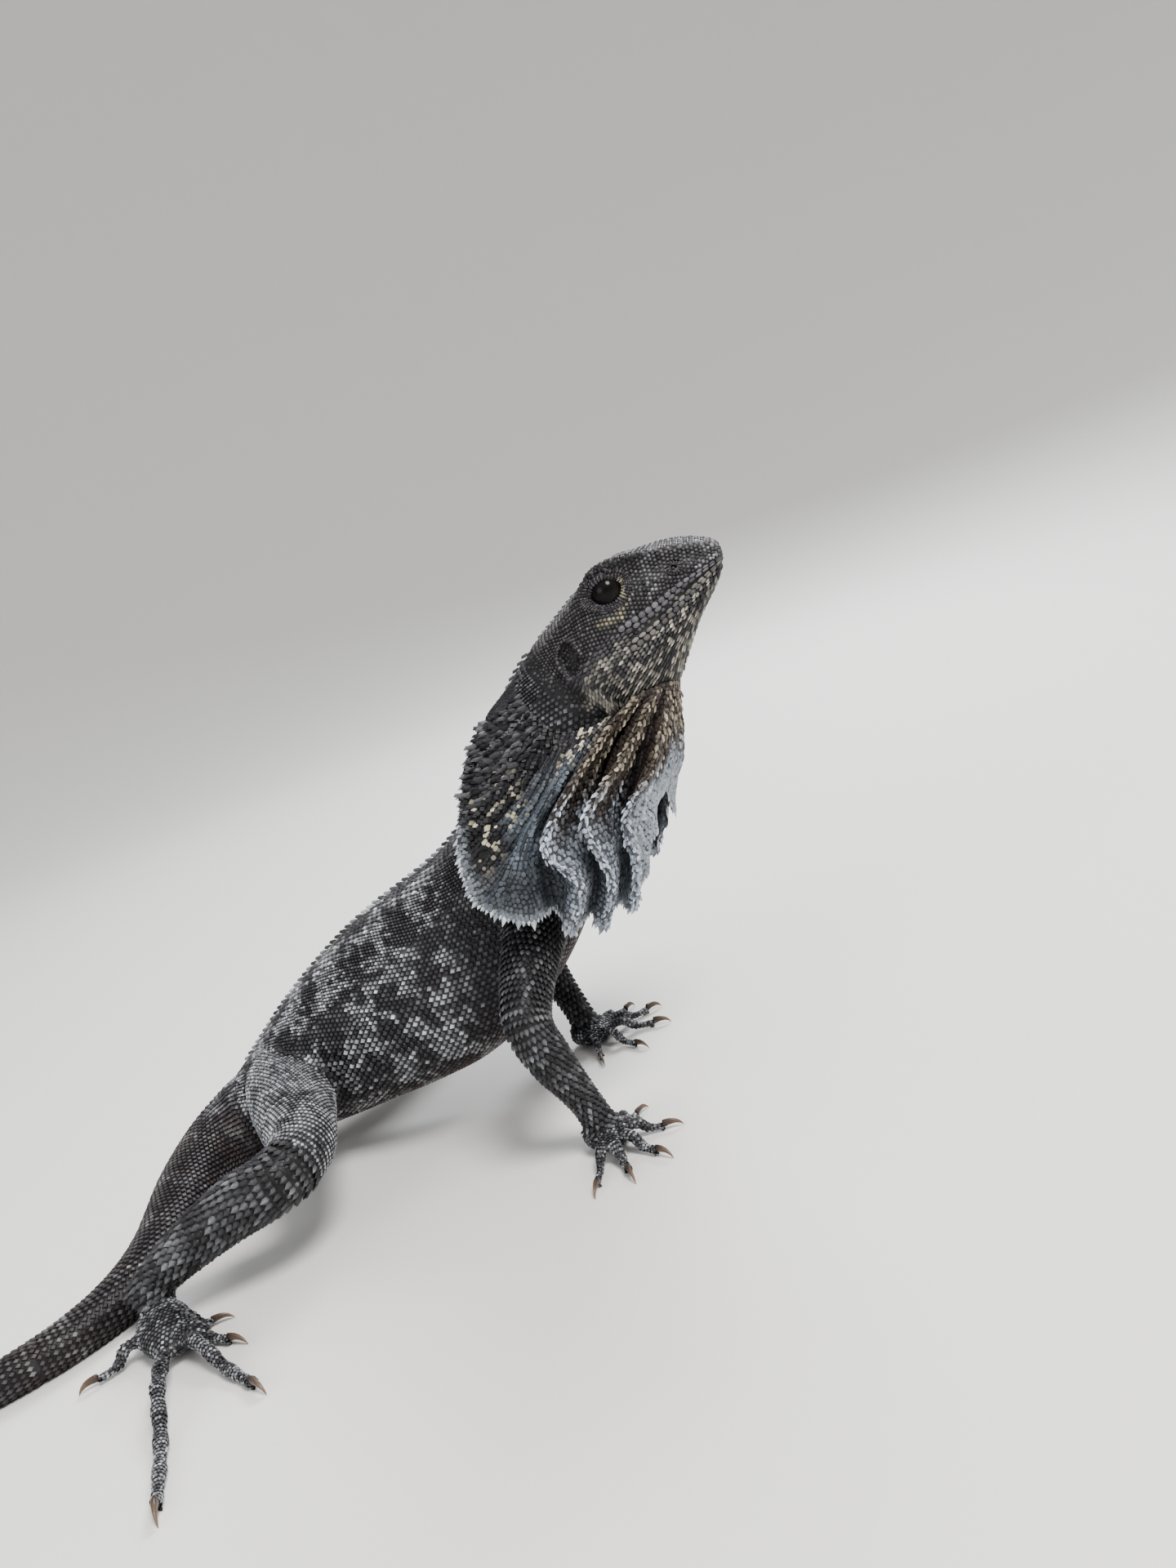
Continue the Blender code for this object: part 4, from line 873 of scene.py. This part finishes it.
def frill_sheet(side):
    """Points of a half's middle surface, where it faces, and the line number of each column."""
    plan = [FAR_LOBE if side < 0 and n == FAR_LOBE_LINE else line for n, line in enumerate(FRILL_LINES)]
    lines = np.array([evened(line, FRILL_ROWS) for line in plan])
    where = np.linspace(0, len(lines) - 1, (len(lines) - 1) * LINE_STEPS + 1)
    before = np.minimum(where.astype(int), len(lines) - 2)
    sheet = lines[before] + (lines[before + 1] - lines[before]) * (where - before)[:, None, None]
    sheet = softened(sheet.swapaxes(0, 1), 9, 3.0)
    v = np.linspace(0, 1, FRILL_ROWS)[:, None]
    pleats = np.sin(2 * math.pi * (1.5 * where + 0.3 * np.sin(1.7 * where))) * np.sin(math.pi * v) ** 0.6
    ruffle = np.sin(2 * math.pi * (0.9 * where + 0.35 * np.sin(2.3 * where))) * np.clip(v - 0.66, 0, 1)
    held = np.clip(np.minimum(where, where[-1] - where) / 1.5, 0, 1)
    swell = (PLEAT_DEPTH * pleats + RUFFLE_DEPTH * ruffle) * held
    sheet = sheet + outward_normals(sheet) * swell[:, :, None]
    sheet[:, :, 1] = np.minimum(sheet[:, :, 1], -0.06)
    return sheet * (1, side, 1), outward_normals(sheet) * (1, side, 1), where


BLUE_GREY = np.array([0.135, 0.160, 0.190])
LOBE = np.array([0.23, 0.255, 0.285])
BARK = np.array([0.042, 0.029, 0.021])


def closeness(line, places, width):
    return np.max([np.exp(-((line - place) / width) ** 2) for place in places], axis=0)


def frill_tones(at, line, v, luck):
    """Dark with cream spots at the nape, blue-grey panels, cream crests with a painted highlight low down and
    pale grey lobes, with painted shade in the hollows, on the lobes and in a low band.
    """
    count = len(at)
    nape, spotted, low = 1 - step(line, 4.3, 5.8), 1 - step(line, 3.9, 5.0), step(v, 0.48, 0.72)
    crest, hollow = closeness(line, CRESTS, 0.21), closeness(line, HOLLOWS, 0.42)
    crest = np.maximum(crest, closeness(line, PLEATS, 0.14) * (1 - low))
    tones = blend(np.tile(GROUND, (count, 1)), ASH, (0.7 - 0.4 * nape) * luck)
    front = step(line, 8.3, 8.9)
    tones = blend(tones, BARK, front * 0.8)
    panel = step(v, 0.10, 0.34) * (1 - front) + step(v, 0.50, 0.70) * front
    behind = np.maximum(1 - nape, step(line, 3.5, 4.4) * (1 - step(v, 0.58, 0.72)))
    tones = blend(tones, BLUE_GREY, behind * panel * (0.35 + 0.8 * cloud(at, 7.0, 7)))
    # painted shade on the lobes of the back lines, lifted near the free edge
    dusk = 1 - 0.5 * (1 - front) * (1 - step(v, 0.88, 0.96))
    lobes = (1 - nape) * step(v + 0.35 * cloud(at, 6.0, 8), 0.86, 1.14)
    tones = blend(tones, LOBE, lobes * (0.3 + 0.7 * luck) * dusk)
    start = 0.40 + 0.16 * step(line, 13.6, 14.4)
    throat = step(line, 12.7, 13.4) * step(v, start, start + 0.22)
    tones = blend(tones, LOBE, throat * (0.35 + 0.65 * luck))
    tones = blend(tones, LOBE * 1.25, front * step(v, 0.52, 0.70) * (0.2 + 0.6 * luck))
    # painted shade in the hollows of the pleats, brown and strongest in the upper part
    tones = blend(tones, BARK, hollow * (1 - low) * 0.9)
    tones = blend(tones, GROUND, hollow * (0.80 - 0.50 * low))
    shaded = (1 - front) * step(v, 0.66, 0.80) * (1 - step(v, 0.93, 0.99))
    tones = tones * (1 - 0.58 * shaded - 0.30 * nape * (1 - shaded))[:, None]
    # crests: cream scales above, a painted blue-white highlight lower down
    lower_highlight = step(v, 0.34, 0.52)
    crest_tone = CREAM * (1.0, 0.99, 1.08) + (LOBE * 2.2 - CREAM) * lower_highlight[:, None]
    tones = tones + (crest_tone - tones) * (crest * step(luck, 0.12, 0.85) * (0.66 + 0.34 * lower_highlight))[:, None]
    spots = step(line, 1.4, 2.4) * step(luck + 0.6 * cloud(at, 3.4, 6), 1.00, 1.10)
    lower = spotted * step(v, 0.42, 0.56) * (1 - step(v, 0.84, 0.92)) * step(line, 2.2, 3.0)
    upper = step(line, 4.4, 5.4) * (1 - step(line, 7.0, 7.8)) * (1 - step(v, 0.22, 0.34))
    spots = spots * np.maximum(lower, upper)
    tones = blend(tones, CREAM * (1.12, 1.16, 1.25), spots)
    return blend(tones, LOBE * 1.1, nape * step(line, 2.6, 3.6) * step(v, 0.88, 0.98) * (0.1 + 0.9 * luck))


def two_faced(name, sheet, normal):
    """A sheet with a thickness, its two faces joined round the rim."""
    rows, columns = sheet.shape[:2]
    half = normal * FRILL_THICK / 2
    verts = np.vstack([(sheet + half).reshape(-1, 3), (sheet - half).reshape(-1, 3)])
    r, c = np.meshgrid(np.arange(rows - 1), np.arange(columns - 1), indexing="ij")
    a = r * columns + c
    quads = np.stack([a, a + 1, a + columns + 1, a + columns], axis=-1).reshape(-1, 4)
    rim = [(0, k) for k in range(columns)] + [(k, columns - 1) for k in range(1, rows)]
    rim += [(rows - 1, k) for k in range(columns - 2, -1, -1)] + [(k, 0) for k in range(rows - 2, 0, -1)]
    rim = [row * columns + column for row, column in rim]
    inner = rows * columns
    edges = [(p, p + inner, q + inner, q) for p, q in zip(rim, rim[1:] + rim[:1])]
    piece = mesh_piece(name, verts, quads.tolist() + (quads + inner)[:, ::-1].tolist() + edges)
    face_outward(piece)
    piece.data.shade_smooth()
    return piece


def plates_at(sheet, normal, row, column, turn, long, wide):
    """Places on one face of a sheet, turned to lie toward its edge."""
    rows, columns = sheet.shape[:2]
    share = column / columns
    lie = unit(on_form(sheet, row + 1, share) - on_form(sheet, np.maximum(row - 1, 0), share))
    facing = unit(on_form(normal, row, share)) * turn
    lie = unit(lie - facing * np.sum(lie * facing, axis=1)[:, None])
    return dict(at=on_form(sheet, row, share) + facing * FRILL_THICK / 2, lie=lie, normal=facing,
                long=long, wide=wide, u=row / rows, a=share * 0.98)


def rows_of_plates(sheet, pitch):
    """Staggered places in rows across a sheet, as rows and columns of its grid, a little out of line."""
    rows, columns = sheet.shape[:2]
    every = np.arange(columns)
    down = length_along(sheet[:, columns // 2])
    found = []
    for number, row in enumerate(np.interp(np.arange(0.8, down[-1], pitch * 0.94), down, np.arange(rows))):
        travelled = length_along(on_form(sheet, np.full(columns, row), every / columns))
        spots = np.arange(0.4 + 0.5 * pitch * (number % 2), travelled[-1] - 0.4, pitch)
        found.append(np.column_stack([np.full(len(spots), row), np.interp(spots, travelled, every)]))
    row, column = np.vstack(found).T
    row = np.clip(row + draw.normal(0, 0.12, len(row)), 0, rows - 1.5)
    return row, np.clip(column + draw.normal(0, 0.4, len(row)), 0, columns - 1.5)


# The plates of a half: name, outer face 1 or inner face -1, first and last line, pitch, shape and depth.
NAPE_END, LAST_LINE = 3.8, 17.0
FRILL_PLATES = (("outer_nape", 1.0, -1.0, NAPE_END, 1.75, LOZENGE, 0.60),
                ("outer_plates", 1.0, NAPE_END, LAST_LINE, 1.15, PLATE, 0.26),
                ("inner_nape", -1.0, -1.0, NAPE_END, 1.75, LOZENGE, 0.45),
                ("inner_plates", -1.0, NAPE_END, LAST_LINE, 1.6, PLATE, 0.26))
frill_skin = hide_material("frill_skin", 1300.0, 0.5)
for frill_name, side in (("frill_right", 1), ("frill_left", -1)):
    sheet, normal, where = frill_sheet(side)
    rows, columns = sheet.shape[:2]
    every = np.arange(columns)
    frill = two_faced(frill_name + "_sheet", sheet, normal)
    line, v = np.tile(where, rows), np.repeat(np.linspace(0, 1, rows), columns)
    base = frill_tones(sheet.reshape(-1, 3), line, v, np.full(len(v), 0.35)) * 0.35
    paint(frill, np.vstack([base, base]))
    frill.data.materials.append(frill_skin)
    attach(frill, "root")
    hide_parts(frill_name)

    for title, turn, from_line, to_line, pitch, shape, depth in FRILL_PLATES:
        row, column = rows_of_plates(sheet, pitch)
        line = np.interp(column, every, where)
        chosen = (line >= from_line) & (line < to_line)
        row, column, line = row[chosen], column[chosen], line[chosen]
        size = draw.uniform(0.85, 1.2, len(row)) * pitch
        plates = plates_at(sheet, normal, row, column, turn, 1.15 * size, 1.09 * size)
        tones = frill_tones(plates["at"], line, row / rows, draw.random(len(row)))
        tones = tones * draw.uniform(0.75, 1.2, len(row))[:, None]
        scale_mesh("%s_%s" % (frill_name, title), plates, tones, shape, depth)

    # spines: two ragged rows down each crest, and one down the upper part of each small pleat
    spines = []
    for crest in CRESTS + PLEATS:
        middle = int(crest * LINE_STEPS)
        travelled = length_along(sheet[:, middle])
        reach, beside = (1.0, (-1.4, 0.9)) if crest in CRESTS else (0.55, (0.0,))
        for number, off in enumerate(beside):
            places = np.arange(3.0 + 0.9 * number, travelled[-1] * reach, 1.8)
            column = middle + off + draw.normal(0, 0.5, len(places))
            size = draw.uniform(0.5, 1.1, len(places))
            row = np.interp(places, travelled, np.arange(rows))
            spines.append((row, column, size, np.full(len(places), crest)))
    row, column, size, line = (np.concatenate(values) for values in zip(*spines))
    row = np.clip(row, 0, rows - 1.5)
    plates = plates_at(sheet, normal, row, column, 1.0, 2.0 * size, 1.15 * size)
    # the spines take the crests' tones, painted highlight included
    tones = frill_tones(plates["at"], line, row / rows, draw.random(len(row))) * 1.1
    scale_mesh(frill_name + "_spines", plates, tones, KEELED, size)

    # ruff: ragged dark scales standing up over the nape
    row, column = np.meshgrid(np.linspace(5, rows - 2, 19), np.arange(0.8, 3.0, 0.30) * LINE_STEPS)
    row, column = row.ravel(), column.ravel()
    count = len(row)
    row = np.clip(row + draw.normal(0, 0.8, count), 0, rows - 1.5)
    column = column + draw.normal(0, 1.2, count)
    long, wide = draw.uniform(2.0, 3.2, count), draw.uniform(1.3, 1.8, count)
    plates = plates_at(sheet, normal, row, column, 1.0, long, wide)
    tones = blend(np.tile(ASH * 0.5, (count, 1)), CHALK * 0.35, draw.random(count) ** 3)
    depth = draw.uniform(0.9, 2.1, count)
    scale_mesh(frill_name + "_ruff", plates, tones, KEELED, depth)

    # teeth: a row of small pale points along the free edge, darker at the nape
    travelled = length_along(sheet[-1])
    column = np.interp(np.arange(0.5, travelled[-1] - 0.5, 1.15), travelled, every)
    count = len(column)
    size = 0.8 + 0.9 * draw.random(count) ** 2
    row, wide = np.full(count, rows - 1.3), 1.5 * np.sqrt(size)
    plates = plates_at(sheet, normal, row, column, 1.0, 2.2 * size, wide)
    plates["at"] = plates["at"] - plates["normal"] * FRILL_THICK / 2
    tones = blend(np.tile(LOBE, (count, 1)), CHALK, draw.random(count))
    at_nape = 1 - step(np.interp(column, every, where), 2.2, 3.4)
    tones = blend(tones, ASH, at_nape * (0.6 + 0.4 * draw.random(count)))
    scale_mesh(frill_name + "_teeth", plates, tones, KEELED, 0.55)


# Lids and nostril rims
# Thick rolls of granular skin: three rings round each eye, pointed fore and aft and pale at the front
# corner, and one swollen ring round each nostril. Small grains stand on them in close rows.
NOSTRIL_RING, NOSTRIL_ROLL = 1.15, 0.42
ROLL_SIDES, GRAIN_TILTS, ROLL_GRAIN = 10, (0.35, 1.2, 2.05), (0.62, 0.66)
# half the length and height of each ring, its thickness, and how far it stands over the globe
LID_RINGS = ((4.35, 3.35, 0.50, 0.25), (5.25, 4.25, 0.62, 0.0), (6.2, 5.2, 0.56, 0.0))


def wreath(name, path, middle, thick, out):
    """A closed roll of skin along a loop, with rows of grains on its outer half."""
    forward = unit(np.roll(path, -1, axis=0) - np.roll(path, 1, axis=0))
    away = unit(path - middle)
    rise = unit(np.cross(forward, away))
    rise = rise * np.sign(np.sum(rise * out, axis=1))[:, None]
    count, sides = len(path), ROLL_SIDES
    angle = 2 * math.pi * np.arange(sides)[:, None] / sides
    ring = path[:, None] + (away[:, None] * np.cos(angle) + rise[:, None] * np.sin(angle)) * thick
    p, q = np.meshgrid(np.arange(count), np.arange(sides), indexing="ij")
    after, beside = (p + 1) % count, (q + 1) % sides
    faces = np.stack([p * sides + q, p * sides + beside, after * sides + beside, after * sides + q], axis=-1)
    roll = mesh_piece(name, ring.reshape(-1, 3), faces.reshape(-1, 4).tolist())
    face_outward(roll)
    roll.data.shade_smooth()
    paint(roll, np.tile(GROUND * 1.2, (count * sides, 1)))
    roll.data.materials.append(scale_horn)
    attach(roll, "root")
    found = []
    for tilt in GRAIN_TILTS:
        facing = away * math.cos(tilt) + rise * math.sin(tilt)
        found.append((path + facing * thick, forward, facing))
    at, lie, normal = (np.concatenate(values) for values in zip(*found))
    long, wide = (np.full(len(at), size) for size in ROLL_GRAIN)
    return dict(at=at, lie=lie, normal=normal, long=long, wide=wide, u=np.full(len(at), 0.5),
                a=np.linspace(0, 0.9, len(at)))


for side_name, side in (("right", 1), ("left", -1)):
    mirror = np.array([1, side, 1])
    centre, out = EYE * mirror, unit(EYE_FACES * mirror)
    ahead = unit(EYE_AHEAD - out * out[0])
    rising = np.cross(out, ahead)
    rising = rising * np.sign(rising[2])
    found = []
    for number, (long, high, thick, stand) in enumerate(LID_RINGS, 1):
        angle = np.linspace(0, 2 * math.pi, max(34, round(7.4 * long)), endpoint=False)
        lift = np.sign(np.sin(angle)) * np.abs(np.sin(angle)) ** 1.2
        path = centre + ahead * (long * np.cos(angle))[:, None] + rising * (high * lift)[:, None]
        far = np.sum((path - centre) ** 2, axis=1)
        path = path + out * np.sqrt(np.maximum(0.0, (EYE_RADIUS + stand) ** 2 - far))[:, None]
        if number > 1:
            path = np.array([skin_tree.find_nearest(Vector(point + out * 2.0))[0][:] for point in path])
        found.append(wreath("lid_%s_%d" % (side_name, number), path, centre, thick, out))
    pit = Vector((NOSTRIL + (0, -2.0, 0)) * mirror)
    spot, facing = (np.array(value) for value in skin_tree.find_nearest(pit)[:2])
    flat = unit(np.array([1.0, 0.0, 0.0]) - facing * facing[0])
    angle = np.linspace(0, 2 * math.pi, 14, endpoint=False)[:, None]
    loop = flat * np.cos(angle) + np.cross(facing, flat) * np.sin(angle)
    path = spot + loop * NOSTRIL_RING + facing * 0.1
    found.append(wreath("nostril_" + side_name, path, spot, NOSTRIL_ROLL, facing))
    grains = {key: np.concatenate([part[key] for part in found]) for key in found[0]}
    luck = draw.random(len(grains["at"]))
    tones = blend(np.tile(GROUND, (len(luck), 1)), ASH * (1.35, 1.3, 1.2), luck)
    corner = [(centre + ahead * along + rising * over)[[0, 2]] for along, over in ((4.4, 0.9), (3.6, -2.4))]
    pale = step(-near_lines(grains["at"], corner), -1.0, -0.4)
    tones = blend(tones, CREAM, pale * (0.45 + 0.45 * luck))
    scale_mesh("scales_lids_" + side_name, grains, tones, GRAIN, 0.30)


# Eyes
# Wet globes, nearly black, with a faint brown ring of iris round the pupil. They are sunk between thick
# lids under the shelf of the brow, and each swells a little where it looks out.
EYE_BLACK, IRIS_BROWN = np.array([0.007, 0.007, 0.008]), np.array([0.014, 0.011, 0.009])
PUPIL, IRIS, GAZE = (14, 17), (34, 38), np.array([0.30, -1.0, 0.05])
LENS_SWELL, LENS_WIDTH = 0.15, 28


def eye_material():
    made = bpy.data.materials.new("eye_wet")
    made.use_nodes = True
    nodes, links = made.node_tree.nodes, made.node_tree.links
    shader = nodes["Principled BSDF"]
    tone = nodes.new("ShaderNodeAttribute")
    tone.attribute_name = "Tone"
    links.new(tone.outputs["Color"], shader.inputs["Base Color"])
    shader.inputs["Roughness"].default_value = 0.16
    shader.inputs["Specular IOR Level"].default_value = 0.10
    shader.inputs["Coat Weight"].default_value = 0.08
    shader.inputs["Coat Roughness"].default_value = 0.03
    return made


eye_wet = eye_material()
for eye_name, side in (("eye_right", 1), ("eye_left", -1)):
    centre, gaze = EYE * (1, side, 1), unit(GAZE * (1, side, 1))
    turn = Vector(gaze).to_track_quat("Z", "Y")
    bpy.ops.object.select_all(action="DESELECT")
    bpy.ops.mesh.primitive_uv_sphere_add(segments=48, ring_count=32, radius=EYE_RADIUS * MM,
                                         location=metres(centre), rotation=turn.to_euler())
    globe = bpy.context.object
    globe.name = globe.data.name = eye_name + "_globe"
    bpy.ops.object.transform_apply(location=True, rotation=True, scale=True)
    points = read_points(globe)
    away = unit(points - centre)
    angle = np.degrees(np.arccos(np.clip(away @ gaze, -1, 1)))
    write_points(globe, points + away * (LENS_SWELL * np.exp(-(angle / LENS_WIDTH) ** 2))[:, None])
    globe.data.shade_smooth()
    ring = step(angle, *PUPIL) * (1 - step(angle, *IRIS))
    uneven = 0.4 + 0.6 * cloud(away * 6.0, 1.0, 9)
    paint(globe, blend(np.tile(EYE_BLACK, (len(points), 1)), IRIS_BROWN, ring * uneven))
    globe.data.materials.append(eye_wet)
    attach(globe, "root")
    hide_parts(eye_name)


# Floor, light and camera
# A plain pale floor under soft studio lamps. The camera stands low on the lizard's right, tipped as the
# picture is, because there the animal climbs a slope that the floor doesn't have.
FLOOR_REACH, WALL_BEND, WALL_STEPS = 0.9, 2.1, 24


def pale_floor():
    made = bpy.data.materials.new("pale_floor")
    made.use_nodes = True
    shader = made.node_tree.nodes["Principled BSDF"]
    shader.inputs["Base Color"].default_value = (0.74, 0.73, 0.71, 1.0)
    shader.inputs["Roughness"].default_value = 0.8
    return made


bpy.ops.object.select_all(action="DESELECT")
bpy.ops.mesh.primitive_circle_add(vertices=96, radius=FLOOR_REACH, fill_type="NGON", location=(0, 0, 0))
floor = bpy.context.object
floor.name = floor.data.name = "floor"
bpy.ops.object.mode_set(mode="EDIT")
bpy.ops.mesh.select_mode(type="EDGE")
bpy.ops.mesh.select_all(action="SELECT")
reach, wall = FLOOR_REACH, 0.0
for number in range(1, WALL_STEPS + 1):
    bend = number / WALL_STEPS * math.pi / 2
    wide, tall = FLOOR_REACH + WALL_BEND * math.sin(bend), WALL_BEND * (1 - math.cos(bend))
    bpy.ops.mesh.extrude_edges_move(TRANSFORM_OT_translate={"value": (0, 0, tall - wall)})
    bpy.ops.transform.resize(value=(wide / reach, wide / reach, 1.0), center_override=(0, 0, tall))
    reach, wall = wide, tall
bpy.ops.mesh.select_all(action="SELECT")
bpy.ops.mesh.normals_make_consistent(inside=True)
bpy.ops.object.mode_set(mode="OBJECT")
floor.data.shade_smooth()
floor.data.materials.append(pale_floor())

world = bpy.data.worlds.new("studio")
world.use_nodes = True
world.node_tree.nodes["Background"].inputs["Color"].default_value = (0.80, 0.81, 0.83, 1.0)
world.node_tree.nodes["Background"].inputs["Strength"].default_value = 0.80
bpy.context.scene.world = world


def soft_lamp(name, place, aim, size, power, colour):
    lamp = bpy.data.lights.new(name, "AREA")
    lamp.shape, lamp.size, lamp.energy, lamp.color = "DISK", size, power, colour
    holder = bpy.data.objects.new(name, lamp)
    bpy.context.scene.collection.objects.link(holder)
    holder.location = place
    holder.rotation_mode = "QUATERNION"
    holder.rotation_quaternion = (Vector(aim) - Vector(place)).to_track_quat("-Z", "Y")


soft_lamp("key", (0.75, -0.45, 1.05), (0.15, 0.0, 0.06), 0.45, 15.0, (1.0, 0.98, 0.95))
soft_lamp("back", (0.35, 0.85, 0.80), (0.18, 0.0, 0.08), 0.5, 10.0, (0.95, 0.97, 1.0))
soft_lamp("fill", (-0.45, -0.95, 0.55), (0.10, 0.0, 0.06), 0.7, 3.5, (0.96, 0.98, 1.0))

CAMERA_AT = (0.2999, -0.2933, 0.1375)
CAMERA_TURN, CAMERA_DOWN, CAMERA_ROLL = math.radians(14.0), math.radians(10.9), math.radians(19.3)
level = Vector((math.cos(CAMERA_TURN), math.sin(CAMERA_TURN), 0.0))
flat_way = Vector((-math.sin(CAMERA_TURN), math.cos(CAMERA_TURN), 0.0))
forward = flat_way * math.cos(CAMERA_DOWN) - Vector((0.0, 0.0, math.sin(CAMERA_DOWN)))
upright = level.cross(forward)
right = math.cos(CAMERA_ROLL) * level - math.sin(CAMERA_ROLL) * upright
up = math.sin(CAMERA_ROLL) * level + math.cos(CAMERA_ROLL) * upright
camera = bpy.data.cameras.new("camera")
camera.lens, camera.sensor_width, camera.sensor_fit = 28.0, 36.0, "AUTO"
camera.clip_start, camera.clip_end = 0.005, 50.0
eye_point = bpy.data.objects.new("camera", camera)
bpy.context.scene.collection.objects.link(eye_point)
axes = Matrix((right, up, -forward)).transposed().to_4x4()
eye_point.matrix_world = Matrix.Translation(CAMERA_AT) @ axes
bpy.context.scene.camera = eye_point
bpy.context.scene.view_settings.view_transform = "AgX"
bpy.context.scene.view_settings.look = "AgX - Medium High Contrast"
